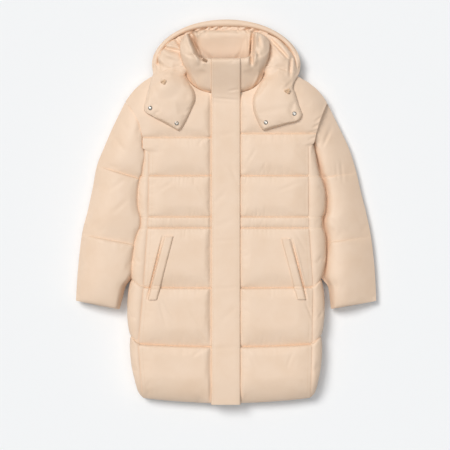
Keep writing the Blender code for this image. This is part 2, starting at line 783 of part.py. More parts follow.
def hood_side(side, finish):
    """A hood side panel with its throat flap, from the crown seam round to the end of the flap."""
    sections = []
    start = CROWN_HALF_ANGLE + CROWN_SEAM_ANGLE
    for step in range(HOOD_SECTIONS + 1):
        angle = math.radians(start + step * (SIDE_END_ANGLE - start) / HOOD_SECTIONS)
        rim_x, rim_y = hood_rim(math.pi / 2 - angle)
        outer = (side * rim_x, rim_y)
        fan = (0.0, fan_level(angle))
        inner = between(fan, outer, clear_of_collar(fan, outer))
        sections.append(hood_section(inner, outer))
    for row in FLAPS[side]:
        sections.append(flap_section((side * row.inner_x, row.inner_y), (side * row.outer_x, row.outer_y)))
    return loft("hood_side_" + wearer(side), sections, finish)


def hood_crown(finish):
    """The hood's crown panel: it lies on the table under the collar, and shows behind it."""
    sections = []
    for step in range(CROWN_SECTIONS + 1):
        angle = math.radians(CROWN_HALF_ANGLE * (2.0 * step / CROWN_SECTIONS - 1.0))
        outer = hood_rim(math.pi / 2 - angle)
        fan = (0.0, NECK_LEVEL - FAN_DROP)
        inner = between(fan, outer, (CROWN_START + FAN_DROP) / (outer[1] - fan[1]))
        clear = clear_of_collar(inner, outer) + COLLAR_GAP_SHARE
        floor, top = [], []
        for share in (0.0, clear, clear + CROWN_STEP, 1.0):
            high = HOOD_LEDGE if share > clear else HOOD_UNDER
            x, y = between(inner, outer, share)
            floor.append((x, y, turned_up(0.0) if share == 1.0 else 0.0))
            top.append((x, y, high))
        sections.append(top + floor[::-1])
    return loft("hood_crown", sections, finish)


def hood_brim(finish):
    """The brim: a soft roll on the hood's edge, with the cord tunnel in it."""
    sections = []
    for step in range(BRIM_SECTIONS + 1):
        angle = math.radians(-BRIM_END + step * (180.0 + 2.0 * BRIM_END) / BRIM_SECTIONS)
        x, y = hood_rim(angle)
        length = math.hypot(x, y - NECK_LEVEL)
        out_x, out_y = x / length, (y - NECK_LEVEL) / length
        width = BRIM_WIDTH + BRIM_EXTRA * math.sin(angle) ** BRIM_EXTRA_POWER
        half = width / 2.0 - BRIM_EDGE
        under = [(x - out_x * part * width, y - out_y * part * width) for part in BRIM_UNDER]
        base = max([HOOD_LEDGE] + [ground(*spot) + BRIM_LIFT for spot in under]) - BRIM_SINK
        taper = BRIM_END_TAPER if step in (0, BRIM_SECTIONS) else 1.0
        section = []
        for corner in range(BRIM_SIDES):
            turn = (corner + 0.5) * 2.0 * math.pi / BRIM_SIDES
            reach = taper * half * math.cos(turn) - width / 2.0
            height = base + BRIM_HEIGHT * (1.0 + taper * math.sin(turn)) / 2.0
            section.append((x + out_x * reach, y + out_y * reach, height))
        sections.append(section)
    return loft("hood_brim", sections, finish)


def seat_height(carrier, x, y, reach):
    """Height at which a flat-bottomed piece rests on a finished piece's outer face."""
    mesh = bpy.data.objects[carrier].data
    tree = BVHTree.FromPolygons([v.co for v in mesh.vertices], [p.vertices for p in mesh.polygons])
    highest = 0.0
    for step in range(SEAT_SAMPLES + 1):
        turn = step * 2.0 * math.pi / SEAT_SAMPLES
        out = reach if step else 0.0
        start = Vector((x + out * math.cos(turn), y + out * math.sin(turn), ABOVE_ALL)) * MM
        hit = tree.ray_cast(start, Vector((0.0, 0.0, -1.0)))[0]
        highest = max(highest, hit.z / MM if hit else 0.0)
    return highest + SEAT


def block(name, size, place, turn, bevel, finish):
    """A small box with eased edges, turned about Z and tilted along Y."""
    bpy.ops.mesh.primitive_cube_add(size=1.0)
    made = bpy.context.active_object
    made.name = name
    made.data.transform(Matrix.Diagonal((size[0] * MM, size[1] * MM, size[2] * MM, 1.0)))
    made.location = Vector(place) * MM
    made.rotation_euler = turn
    ease = made.modifiers.new("eased edges", "BEVEL")
    ease.width = bevel * MM
    ease.segments = 1
    made.data.materials.append(finish)
    collect(made)
    return made


def collect(made):
    """Move an object that an operator made into the coat's collection."""
    for held in list(made.users_collection):
        held.objects.unlink(made)
    bpy.data.collections["quilted_coat"].objects.link(made)


def turned(name, profile, place, steps, finish):
    """A piece turned about Z from a profile of radii and heights, which runs outwards and down."""
    bm = bmesh.new()
    points = [bm.verts.new((radius * MM, 0.0, height * MM)) for radius, height in profile]
    for start, end in zip(points, points[1:]):
        bm.edges.new((start, end))
    mesh = bpy.data.meshes.new(name)
    bm.to_mesh(mesh)
    bm.free()
    mesh.materials.append(finish)
    made = bpy.data.objects.new(name, mesh)
    bpy.data.collections["quilted_coat"].objects.link(made)
    made.location = Vector(place) * MM
    spin = made.modifiers.new("turn", "SCREW")
    spin.steps = steps
    spin.render_steps = steps
    spin.use_merge_vertices = True
    spin.merge_threshold = MERGE
    return made


def zip_line():
    """Level and height of the zip's tape: flat between the fronts, then up through the collar."""
    line = [(SEAMS[0].level + ZIP_START, ZIP_HEIGHT), (ZIP_TURN, ZIP_HEIGHT)]
    for ring in COLLAR[1:-1]:
        x, y, z = collar_point(ring, math.pi / 2, 0.0)
        line.append((y, z - ZIP_SINK))
    return line


def zip_chain(finish):
    """Zip tape with its closed chain, between the front edges."""
    rings = []
    tape, chain = FRONT_EDGE - 2 * GAP, ZIP_CHAIN_WIDTH / 2
    for level, low in zip_line():
        mid = low + ZIP_TAPE
        high = mid + ZIP_CHAIN_RISE
        right_half = [(-chain, high), (-chain, mid), (-tape, mid), (-tape, low)]
        left_half = [(-x, z) for x, z in reversed(right_half)]
        rings.append([(x, level, z) for x, z in right_half + left_half])
    return loft("zip_chain", rings, finish)


def zip_slider(metal):
    """Slider near the top of the collar, with its pull tab lying down the chain under the placket."""
    line = zip_line()
    (low_y, low_z), (high_y, high_z) = line[-2], line[-1]
    slope = math.atan2(high_z - low_z, high_y - low_y)
    surface = ZIP_TAPE + ZIP_CHAIN_RISE

    def over_chain(level, lift):
        share = (level - low_y) / (high_y - low_y)
        return (0.0, level, low_z + share * (high_z - low_z) + surface + lift)

    body = over_chain(SLIDER_LEVEL, SLIDER_SIZE[2] / 2 + SLIDER_SEAT)
    block("zip_slider", SLIDER_SIZE, body, (slope, 0.0, 0.0), SLIDER_EASE, metal)
    tab = over_chain(SLIDER_LEVEL - PULL_OFFSET, SLIDER_SIZE[2] + PULL_SIZE[2] / 2 + 2 * SLIDER_SEAT)
    block("zip_pull", PULL_SIZE, tab, (slope, 0.0, 0.0), PULL_EASE, metal)


def hardware(metal, coil, cord):
    """Press studs, eyelets with their cord knots and the zip's turned-out top end."""
    for name, x, y, kind in STUDS:
        top = seat_height("hood_side_" + name.split("_")[0], x, y, STUD_RADIUS)
        turned("stud_" + name, STUD_PROFILES[kind], (x, y, top), STUD_STEPS, metal)
    for side in (-1, 1):
        x, y = EYELETS[side]
        top = seat_height("hood_side_" + wearer(side), x, y, STUD_RADIUS)
        turned("eyelet_" + wearer(side), EYELET_PROFILE, (x, y, top), EYELET_STEPS, metal)
        turned("cord_knot_" + wearer(side), KNOT_PROFILE, (x, y, top + KNOT_LIFT), KNOT_STEPS, cord)
    x, y = ZIP_END_PLACE
    middle = seat_height("collar", x, y, ZIP_END_SIZE[0] / 2) + ZIP_END_SIZE[2] / 2
    block("zip_end", ZIP_END_SIZE, (x, y, middle), (0.0, 0.0, ZIP_END_TURN), ZIP_END_EASE, coil)


def clear_scene():
    """Remove every object of the start-up scene."""
    for old in list(bpy.data.objects):
        bpy.data.objects.remove(old, do_unlink=True)


def main():
    clear_scene()
    coat = bpy.data.collections.new("quilted_coat")
    bpy.context.scene.collection.children.link(coat)
    shell = material("shell", SHELL_COLOUR, 0.6)
    trim = material("trim", SHELL_SHADE, 0.6)
    metal = material("stud_metal", METAL_COLOUR, 0.3, 1.0)
    coil = material("zip_coil", ZIP_COLOUR, 0.5)
    cord = material("cord", CORD_COLOUR, 0.7)
    back(shell)
    for side in (-1, 1):
        front(side, shell)
        side_panel(side, shell)
        sleeve_half(side, True, shell)
        sleeve_half(side, False, shell)
        welt(side, trim)
        hood_side(side, shell)
    collar(shell)
    placket(trim)
    hood_crown(shell)
    hood_brim(trim)
    zip_chain(coil)
    zip_slider(metal)
    hardware(metal, coil, cord)


main()
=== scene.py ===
"""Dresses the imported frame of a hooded, quilted down coat that lies flat on its back.

Lengths are millimetres unless a name says otherwise. +X is towards the wearer's left, +Y runs from the hem
to the hood and +Z is up. Every padded panel is a grid of cloth that is held where it is sewn and swells in
between. Then its seams get their puckers and stitches, and the panel is closed by its lining.
"""

import math
import random
from collections import namedtuple

import bmesh
import bpy
import numpy as np
from bpy.props import FloatProperty, PointerProperty, StringProperty
from mathutils import Matrix, Vector
from mathutils.bvhtree import BVHTree


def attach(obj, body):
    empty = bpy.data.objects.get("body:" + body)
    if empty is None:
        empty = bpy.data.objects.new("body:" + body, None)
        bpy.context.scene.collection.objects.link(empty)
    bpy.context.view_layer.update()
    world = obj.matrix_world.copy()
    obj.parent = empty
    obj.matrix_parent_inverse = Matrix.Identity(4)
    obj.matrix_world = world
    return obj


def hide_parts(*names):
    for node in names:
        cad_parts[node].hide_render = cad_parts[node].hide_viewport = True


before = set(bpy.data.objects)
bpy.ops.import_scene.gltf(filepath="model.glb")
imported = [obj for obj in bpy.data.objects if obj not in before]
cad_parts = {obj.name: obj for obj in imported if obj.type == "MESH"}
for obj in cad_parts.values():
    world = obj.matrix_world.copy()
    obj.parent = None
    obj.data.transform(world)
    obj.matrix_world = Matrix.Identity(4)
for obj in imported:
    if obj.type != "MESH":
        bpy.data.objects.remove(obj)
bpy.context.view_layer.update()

bl_info = {
    "name": "Quilted Down Coat",
    "version": (1, 0, 0),
    "blender": (4, 5, 0),
    "location": "3D View > Sidebar > Coat",
    "description": "Builds the cloth, seams, studs and zip of a quilted down coat on its frame",
    "category": "Object",
}

MM = 0.001


def table(kind, *rows):
    """Rows of one kind, each given by its values."""
    return tuple(kind(*row) for row in rows)


# Heights above the surface that the coat lies on, and how far a front's edge laps down over the back
BACK_LOFT = 34.0
BACK_LAP = 0.5
FRONT_FLOOR = 40.0
FOLD_HEIGHT = 37.0
QUILT_SEAM_HEIGHT = 68.0
CROWN_HEIGHT = 84.0
UNDER_PLACKET_HEIGHT = {-1: 73.0, 1: 69.0}
SHOULDER_HEIGHT = 44.0
HEM_HEIGHT = 44.0
BACK_GROOVE = 6.0

# How far from a seam the filling takes to reach its full height: just below the seam, and above it; and how
# deep the stitched groove is, and how wide above and below the seam
RISE_REACH = 8.0
FALL_REACH = 66.0
STITCH_GROOVE = 3.8
GROOVE_ABOVE = 6.5
GROOVE_BELOW = 2.4

# How far from other edges the filling, or the seams' height, takes to reach its full measure
EDGE_ROUNDING = 44.0
SHOULDER_ROUNDING = 80.0
PLACKET_ROLL = {-1: 9.0, 1: 20.0}
SHOULDER_SLOPE = 70.0
HEM_SLOPE = 80.0

# Share of the filling's height that is left right at an edge
SIDE_SEAM_SHARE = 0.72
SHOULDER_SHARE = 0.12
NECKLINE_SHARE = 0.2
PLACKET_EDGE_SHARE = {-1: 0.25, 1: 0.0}

# The fronts lie higher beside the placket: how fast they fall away from it, how far they sink at the hem, and
# how far the left one runs in under its free edge
UNDER_PLACKET_FALL = 0.3
UNDER_PLACKET_SINK = 18.0
PLACKET_LAP = 8.0

# Body seams from hem to bust. level: at the centre front; rise: gained at the side panel; lift: gained
# from there to the side fold; drop: share of the height by which the filling sinks above the seam; side and
# panel: half widths at the side fold and at the side panel's seam
Seam = namedtuple("Seam", "level rise lift drop right_side left_side right_panel left_panel")
SEAMS = table(
    Seam, (-578, 16, 10, 1.0, 258, 262, 250, 252), (-405, 8, 24, 0.7, 286, 284, 262, 256),
    (-229, 2, 24, 0.45, 285, 284, 247, 259), (-49, 0, 0, 0.2, 262, 292, 235, 247),
    (-16, 0, 0, 0.2, 260, 291, 233, 246), (107, 0, 0, 0.28, 258, 283, 231, 246),
)
QUILT_LEVELS = [seam.level for seam in SEAMS]
HEM_LEVEL = QUILT_LEVELS[0]
CHEST_LEVEL = {-1: 222.0, 1: 234.0}
CHEST_DROP = 0.15
BACK_CHEST_LEVEL = 226.0
RISE_AT = 250.0
CHANNEL_WIDTH = 40.0
SIDE_BULGE = 12.0
SIDE_BULGE_POWER = 0.6
SIDE_WALL = 14.0

# Armholes: underarm and shoulder tip (half width, level), and how far the seam bows towards the body
Armhole = namedtuple("Armhole", "under_x under_y tip_x tip_y bow")
ARMHOLES = {-1: Armhole(250, 187, 304, 330, 18), 1: Armhole(263, 203, 304, 327, 5)}
ARMHOLE_SHARES = (0.0, 0.06, 0.22, 0.5, 0.78, 0.94, 1.0)
TIP = len(ARMHOLE_SHARES) - 1

# Shoulder seams from the tip to the neck
Shoulder = namedtuple("Shoulder", "level right left")
SHOULDERS = table(
    Shoulder, (330, 304, 303), (347, 292, 291), (368, 275, 273), (390, 250, 246), (408, 222, 212),
    (424, 174, 168), (437, 134, 130),
)

# Neckline: half a rounded oval open towards the hood
NECK_LEVEL = 440.0
NECK_HALF_WIDTH = 121.4
NECK_DEPTH = 88.4
NECK_ROUNDNESS = 2.4
NECK_SHIFT = -4.0
NECK_SAMPLES = (354.0, 357.0, 362.0, 372.0, 388.0, 410.0, 436.0)
HIDDEN_ABOVE = 405.0

# Front edges and placket
FRONT_EDGE = 9.0
PLACKET_RIGHT = 45.0
PLACKET_LEFT = 43.0
PLACKET_SEAM = 46.5

# Sleeves: inner and outer end of lines across them, at shares of the way from the armhole to the cuff
Station = namedtuple("Station", "share inner_x inner_y outer_x outer_y")
SLEEVES = {
    -1: table(
        Station, (0.00, 250, 187, 304, 330), (0.10, 257, 150, 341, 254), (0.22, 260, 120, 370, 187),
        (0.34, 262, 96, 389, 138), (0.46, 270, 50, 401, 75), (0.57, 266, -15, 416, 5),
        (0.68, 283, -100, 434, -68), (0.84, 295, -190, 446, -175), (1.00, 320, -292, 452, -266),
    ),
    1: table(
        Station, (0.00, 263, 203, 304, 327), (0.10, 268, 165, 341, 252), (0.22, 275, 128, 371, 187),
        (0.34, 286, 100, 392, 118), (0.46, 292, 55, 405, 62), (0.57, 294, -10, 422, -5),
        (0.68, 300, -94, 436, -75), (0.84, 303, -185, 447, -170), (1.00, 315, -291, 452, -267),
    ),
}
SLEEVE_SEAMS = (0.0, 0.34, 0.68, 1.0)
SLEEVE_LENGTH = 520.0

# How far a sleeve presses into the side panel, and over what length it leaves it
SLEEVE_TUCK = 14.0
SLEEVE_LEAVES = 50.0

# Collar rings from the neck seam to the rim. level: of the widest points; front and back: reach from there;
# roll: how much further the padding swells inwards at the sides
CollarRing = namedtuple(
    "CollarRing", "level half_width front back front_height back_height wall roundness roll"
)
COLLAR = table(
    CollarRing, (440, 111, 84, 2, 57, 24, 18, 2.4, 0), (450, 107, 78, 9, 71, 26, 26, 2.5, 4),
    (475, 116, 60, 22, 88, 33, 30, 2.7, 16), (498, 118, 54, 30, 100, 44, 30, 2.9, 24),
    (507, 118, 53, 33, 104, 50, 22, 3.0, 25),
)
COLLAR_RIM = CollarRing(510, 110, 55, 36, 106, 52, 0, 3.2, 0)
COLLAR_LEAN = 0.3
OPENING_SQUARENESS = 2.6
ROLL_CREST = 15.0

# The collar's opening slants at the wearer's right: it widens towards the back from this level
SLANT_LEVEL = 458.0
SLANT = 0.34

# Pocket welts
Welt = namedtuple("Welt", "top_x top_y bottom_x bottom_y width")
WELTS = {-1: Welt(172, -74, 221, -263, 29), 1: Welt(179, -82, 226, -262, 28)}

# Hood: its outline is an oval round the neck; flaps are rows from the shoulder to the flap's end
HOOD_HALF_WIDTH = 223.0
HOOD_REACH = 138.0
HOOD_LEDGE = 40.0
HOOD_LOFT = 22.0
HOOD_RISE = 24.0
HOOD_ROUNDING = 0.35
HOOD_SLOPE = 30.0
CROWN_HALF_ANGLE = 38.0
SIDE_END_ANGLE = 100.0
HOOD_SECTIONS = 6
FAN_DROP = 45.0
FAN_RANGE = 25.0
BRIM_WIDTH = 17.0
BRIM_EXTRA = 4.5
BRIM_EXTRA_POWER = 8
BRIM_HEIGHT = 17.0
BRIM_END = 6.0
FlapRow = namedtuple("FlapRow", "inner_x inner_y outer_x outer_y")
FLAPS = {
    -1: table(
        FlapRow, (126, 428, 222, 420), (123, 410, 223, 405), (112, 386, 229, 380), (97, 362, 236, 352),
        (93, 334, 242, 328), (106, 300, 246, 312), (121, 268, 245, 302), (134, 247, 240, 296),
        (142, 241, 232, 290),
    ),
    1: table(
        FlapRow, (118, 428, 217, 416), (115, 410, 206, 392), (104, 388, 199, 371), (90, 362, 207, 352),
        (79, 335, 214, 328), (82, 300, 222, 305), (94, 268, 228, 289), (106, 247, 222, 276),
        (114, 242, 212, 270),
    ),
}
HOOD_CLOTH = 4.0
HOOD_LEAST = 8.0
FLAP_LOFT = 11.0
FLAP_ROUNDING = 17.0

# A hood side turns into its flap over so many lines each way, is flatter where narrow, and rounds off at its
# end. Then the crown's start and heights, and how far the brim lies over what is under it
FLAP_BLEND = 2.5
NARROW_HOOD = 60.0
FLAP_END = 12.0
CROWN_START = 5.0
CROWN_LOW = 21.0
CROWN_RISE = 26.0
BRIM_OVER = 7.0

# Centres of the studs and of the cord's eyelets with their knots: x, y and the height of their base
Seat = namedtuple("Seat", "node x y base")
CAPS = (Seat("stud_right_outer", -226.5, 309.0, 99.4),)
SOCKETS = (
    Seat("stud_right_inner", -148.0, 264.0, 99.4),
    Seat("stud_left_outer", 203.0, 292.0, 100.0),
    Seat("stud_left_inner", 118.0, 266.0, 99.8),
)
EYELETS = (Seat("eyelet_right", -186.0, 386.0, 100.2), Seat("eyelet_left", 183.0, 359.0, 100.2))
KNOTS = (Seat("cord_knot_right", -186.0, 386.0, 101.3), Seat("cord_knot_left", 183.0, 359.0, 101.4))

# The cloth under a stud or an eyelet is clamped flat: how far round its middle, how far out the cloth still
# gives, and how deep the metal bites into it
FITTING_RADIUS = 7.0
FITTING_REACH = 56.0
FITTING_BITE = 0.3


# ---- the coat's own lines and heights


def read(rows, value, column):
    """A column of a table at a value of its first column, straight between rows."""
    for low, high in zip(rows, rows[1:]):
        if value <= high[0]:
            break
    share = (value - low[0]) / (high[0] - low[0])
    return getattr(low, column) + share * (getattr(high, column) - getattr(low, column))


def rounding(distance, reach):
    """Share of the full height that filling has at a distance from a seam: a quarter circle."""
    share = min(max(distance / reach, 0.0), 1.0)
    return math.sqrt(1.0 - (1.0 - share) ** 2)


def smooth(low, high, value):
    """0 below low, 1 above high, and a soft step between them."""
    share = np.clip((value - low) / (high - low), 0.0, 1.0)
    return share * share * (3.0 - 2.0 * share)


def through(points, place):
    """A smooth line through points, at a place counted in points from the first."""
    first = min(max(int(math.floor(place)), 0), len(points) - 2)
    t = place - first
    around = [points[min(max(first + k, 0), len(points) - 1)] for k in (-1, 0, 1, 2)]
    a, b, c, d = [np.array(p, float) for p in around]
    return 0.5 * (2 * b + (c - a) * t + (2 * a - 5 * b + 4 * c - d) * t * t + (3 * b - a - 3 * c + d) * t**3)


def wearer(side):
    """The name of a side: -1 is the wearer's right, 1 the left."""
    return "right" if side < 0 else "left"


def body_level(level, x):
    """Where a line across the body at a level lies at x."""
    if level >= SEAMS[-1].level:
        return level
    return level + read(SEAMS, level, "rise") * min(abs(x) / RISE_AT, 1.0) ** 2


def panel_x(side, level):
    """Half width at the side panel's seam."""
    return read(SEAMS, level, wearer(side) + "_panel")


def side_x(side, level):
    """Half width at the side fold, which swells between quilt seams."""
    arm = ARMHOLES[side]
    top = SEAMS[-1]
    column = wearer(side) + "_side"
    if level >= top.level:
        share = (level - top.level) / (arm.under_y - top.level)
        return getattr(top, column) + share * (arm.under_x - getattr(top, column))
    half_width = read(SEAMS, level, column)
    for low, high in zip(SEAMS, SEAMS[1:]):
        if low.level <= level <= high.level and high.level - low.level > CHANNEL_WIDTH:
            share = (level - low.level) / (high.level - low.level)
            half_width += SIDE_BULGE * (4.0 * share * (1.0 - share)) ** SIDE_BULGE_POWER
    return half_width


def side_lift(side, level, x):
    """How far a level has risen at x on a side panel."""
    if level >= SEAMS[-1].level:
        return 0.0
    seam, fold = panel_x(side, level), side_x(side, level)
    return read(SEAMS, level, "lift") * min(max((x - seam) / (fold - seam), 0.0), 1.0)


def arm_point(side, share):
    """A point of the armhole seam, from the underarm (0) to the shoulder tip (1), as half width and level."""
    arm = ARMHOLES[side]
    run_x, run_y = arm.tip_x - arm.under_x, arm.tip_y - arm.under_y
    bow = arm.bow * 4.0 * share * (1.0 - share) / math.hypot(run_x, run_y)
    return arm.under_x + share * run_x - bow * run_y, arm.under_y + share * run_y + bow * run_x


def upper_outline(side):
    """Points of the armhole and the shoulder seam, from the underarm to the neck."""
    points = [arm_point(side, share) for share in ARMHOLE_SHARES]
    points += [(getattr(row, wearer(side)), row.level) for row in SHOULDERS[1:]]
    return points


OUTLINES = {side: upper_outline(side) for side in (-1, 1)}


def upper_x(side, level):
    """Half width at the armhole or the shoulder seam."""
    points = OUTLINES[side]
    for (low_x, low_y), (high_x, high_y) in zip(points, points[1:]):
        if level <= high_y:
            break
    share = (level - low_y) / (high_y - low_y)
    return low_x + share * (high_x - low_x)


def neck_x(side, level):
    """x of the neckline's cut at a level, or None below it."""
    depth = (NECK_LEVEL - level) / NECK_DEPTH
    if depth >= 1.0:
        return None
    reach = (1.0 - max(depth, 0.0) ** NECK_ROUNDNESS) ** (1.0 / NECK_ROUNDNESS)
    return NECK_SHIFT + side * NECK_HALF_WIDTH * reach


def distance_to_line(x, y, points):
    """Shortest distance from a point to a run of straight pieces."""
    best = math.inf
    for (ax, ay), (bx, by) in zip(points, points[1:]):
        run_x, run_y = bx - ax, by - ay
        share = ((x - ax) * run_x + (y - ay) * run_y) / (run_x * run_x + run_y * run_y)
        share = min(max(share, 0.0), 1.0)
        best = min(best, math.hypot(x - ax - share * run_x, y - ay - share * run_y))
    return best


NECKLINES = {side: [(abs(neck_x(side, y)), y) for y in NECK_SAMPLES] for side in (-1, 1)}


def pillow(distance, reach, power=0.85):
    """Share of the full height that down reaches at a distance from a seam: steep first, then level."""
    return math.sin(math.pi / 2 * min(max(distance / reach, 0.0), 1.0)) ** power


def chamber(level, seams):
    """Share of the full height at a level: the filling hangs full under one seam and sinks towards the next.

    seams pairs each seam's level with its drop.
    """
    share = 1.0
    for seam, drop in seams:
        if level >= seam:
            share = min(share, 1.0 - drop * max(1.0 - (level - seam) / FALL_REACH, 0.0) ** 2)
        else:
            share = min(share, 1.0 - drop * (1.0 - rounding(seam - level, RISE_REACH)))
    return share


def edged(distance, reach, least):
    """Share of the height that is left near a seam across which the chambers run on."""
    return least + (1.0 - least) * pillow(distance, reach)


def front_top(x, y, loft=1.0):
    """Height of a front's outer face, at a share of its full loft."""
    side = -1 if x < 0 else 1
    half = abs(x)
    outline = OUTLINES[side]
    seams = [(body_level(seam.level, x), seam.drop) for seam in SEAMS[1:]] + [(CHEST_LEVEL[side], CHEST_DROP)]
    from_quilt = min((y - seam for seam, _ in seams), key=abs)
    from_shoulder = distance_to_line(half, y, outline[TIP:])
    from_side = distance_to_line(half, y, outline[: TIP + 1])
    if y < outline[0][1]:
        from_side = max(panel_x(side, y) - half, 0.0)
    from_hem = y - body_level(HEM_LEVEL, x)
    clear = float(smooth(0.0, SHOULDER_SLOPE, from_shoulder))
    low = SHOULDER_HEIGHT + (QUILT_SEAM_HEIGHT - SHOULDER_HEIGHT) * clear
    low = min(low, HEM_HEIGHT + (QUILT_SEAM_HEIGHT - HEM_HEIGHT) * pillow(from_hem, HEM_SLOPE))
    from_placket = half - (PLACKET_SEAM if side < 0 else PLACKET_LEFT - PLACKET_LAP)
    raised = UNDER_PLACKET_HEIGHT[side] - max(from_placket, 0.0) * UNDER_PLACKET_FALL
    low = max(low, raised - UNDER_PLACKET_SINK * (1.0 - pillow(from_hem, HEM_SLOPE)))
    share = chamber(y, seams)
    if y < seams[0][0]:
        share *= pillow(from_hem, HEM_SLOPE)
    share *= edged(from_placket, PLACKET_ROLL[side], PLACKET_EDGE_SHARE[side])
    share *= edged(from_side, EDGE_ROUNDING, SIDE_SEAM_SHARE)
    share *= edged(from_shoulder, SHOULDER_ROUNDING, SHOULDER_SHARE)
    share *= edged(distance_to_line(half, y, NECKLINES[side]), EDGE_ROUNDING, NECKLINE_SHARE)
    reach = GROOVE_ABOVE if from_quilt > 0.0 else GROOVE_BELOW
    groove = STITCH_GROOVE * max(1.0 - abs(from_quilt) / reach, 0.0)
    return low + (CROWN_HEIGHT - low) * loft * share - groove


# ---- cloth


# Spacing of a grid's rows, how far the extra rows lie from a seam, and the reach within which they are held
STEP = 6.5
NEAR_SEAM = 2.4
SEAM_HOLD = 2.5
SAME = 0.001
SWELL_FRAMES = 20
START_LOFT = 0.9
LEAST_HEIGHT = 0.3


def start_loft():
    """The share of its loft that a panel starts with: pressure adds the rest where the cloth is simulated."""
    return START_LOFT


def spaced(stops, step=STEP):
    """Values from the first stop to the last, about a step apart, with every stop and its neighbours."""
    values = []
    for low, high in zip(stops, stops[1:]):
        count = max(1, round(abs(high - low) / step))
        values += [low + (high - low) * i / count for i in range(count)]
    return values + [stops[-1]]


def shares(count):
    """A number of even steps from 0 to 1."""
    return list(np.linspace(0.0, 1.0, count))


def with_near_rows(rows, seams):
    """The same rows, with one more close to each side of every seam, so that its groove stays sharp."""
    extra = [seam + near for seam in seams for near in (-NEAR_SEAM, NEAR_SEAM)]
    inside = [value for value in extra if rows[0] < value < rows[-1]]
    return sorted(rows + inside)


def coordinates(mesh):
    """A mesh's points as an array, in millimetres."""
    flat = np.zeros(len(mesh.vertices) * 3)
    mesh.vertices.foreach_get("co", flat)
    return flat.reshape(-1, 3) / MM


def place_points(mesh, points):
    """Put a mesh's points where an array in millimetres says."""
    mesh.vertices.foreach_set("co", (points * MM).ravel())
    mesh.update()


def attribute(mesh, name):
    """A value that every point of a mesh carries, as an array."""
    values = np.zeros(len(mesh.vertices))
    mesh.attributes[name].data.foreach_get("value", values)
    return values


def new_object(name, bm):
    """Put a finished mesh in the scene as one object."""
    mesh = bpy.data.meshes.new(name)
    bm.to_mesh(mesh)
    bm.free()
    made = bpy.data.objects.new(name, mesh)
    bpy.context.scene.collection.objects.link(made)
    return made


def face_out(bm, closed):
    """Turn a cloth's faces so that they look away from its middle, or upwards where it is an open sheet."""
    bm.normal_update()
    middle = sum((vert.co for vert in bm.verts), Vector()) / len(bm.verts)
    if not closed:
        middle.z -= 10.0
    outwards = (face.normal.dot(face.calc_center_median() - middle) * face.calc_area() for face in bm.faces)
    if sum(outwards) < 0.0:
        bmesh.ops.reverse_faces(bm, faces=bm.faces)


def cloth_grid(name, columns, rows, place, closed=False, seams=()):
    """A grid of cloth. Each point carries where it lies on the pattern, across and along.

    A closed grid's first and last columns are one line, as round a tube. seams are the rows that stay sharp.
    """
    bm = bmesh.new()
    wide, high = len(columns) - 1, len(rows) - 1
    bmesh.ops.create_grid(bm, x_segments=wide, y_segments=high, size=0.5)
    across = bm.verts.layers.float.new("across")
    along = bm.verts.layers.float.new("along")
    for vert in bm.verts:
        vert[across] = columns[round((vert.co.x + 0.5) * wide)]
        vert[along] = rows[round((vert.co.y + 0.5) * high)]
        vert.co = Vector(place(vert[across], vert[along])) * MM
    if closed:
        bmesh.ops.remove_doubles(bm, verts=bm.verts, dist=0.02 * MM)
    face_out(bm, closed)
    sharp = bm.edges.layers.float.new("crease_edge")
    for edge in bm.edges:
        on_seam = [any(abs(vert[along] - seam) < SAME for seam in seams) for vert in edge.verts]
        edge[sharp] = float(all(on_seam))
    return new_object(name, bm)


def near(values, levels, reach=0.05):
    """Which values lie on one of the levels."""
    values = np.asarray(values)
    return np.min([np.abs(values - level) for level in levels], axis=0) < reach


def swell(cloths, pressure=4.0, slack=0.003, most=3.0, stiffness=15.0):
    """Blow up cloths together between the points that are held, and keep each result in its mesh.

    cloths pairs each object with its held points. slack is how much wider the cloth is than its bed, and
    most is how far a point may move.
    """
    starts = {}
    for cloth, held in cloths:
        starts[cloth.name] = coordinates(cloth.data)
        group = cloth.vertex_groups.new(name="held")
        group.add([int(i) for i in np.nonzero(held)[0]], 1.0, "REPLACE")
        swelling = cloth.modifiers.new("swelling", "CLOTH")
        settings = swelling.settings
        settings.vertex_group_mass = "held"
        settings.quality = 5
        settings.mass = 0.3
        settings.tension_stiffness = stiffness
        settings.compression_stiffness = stiffness
        settings.shear_stiffness = stiffness / 3.0
        settings.bending_stiffness = 0.5
        settings.use_pressure = True
        settings.uniform_pressure_force = pressure
        settings.shrink_min = -slack
        settings.effector_weights.gravity = 0.0
        swelling.collision_settings.use_collision = False
        swelling.collision_settings.use_self_collision = False
        swelling.point_cache.frame_start = 1
        swelling.point_cache.frame_end = SWELL_FRAMES
    for number in range(1, SWELL_FRAMES + 1):
        bpy.context.scene.frame_set(number)
    depsgraph = bpy.context.evaluated_depsgraph_get()
    for cloth, held in cloths:
        start = starts[cloth.name]
        moved = coordinates(cloth.evaluated_get(depsgraph).data) - start
        far = np.linalg.norm(moved, axis=1, keepdims=True)
        start += moved * np.minimum(1.0, most / np.maximum(far, 0.001))
        cloth.modifiers.clear()
        cloth.vertex_groups.clear()
        place_points(cloth.data, start)
    bpy.context.scene.frame_set(1)


def finer(cloth, levels=1):
    """Round a cloth's grid with a subdivision surface, and keep the result in its mesh."""
    rounder = cloth.modifiers.new("rounder", "SUBSURF")
    rounder.levels = levels
    rounder.render_levels = levels
    rounder.boundary_smooth = "PRESERVE_CORNERS"
    depsgraph = bpy.context.evaluated_depsgraph_get()
    finished = bpy.data.meshes.new_from_object(cloth.evaluated_get(depsgraph))
    cloth.modifiers.clear()
    old = cloth.data
    cloth.data = finished
    bpy.data.meshes.remove(old)
    finished.name = cloth.name


def opened(cloth):
    """A cloth's mesh, ready for bmesh operators."""
    bm = bmesh.new()
    bm.from_mesh(cloth.data)
    return bm


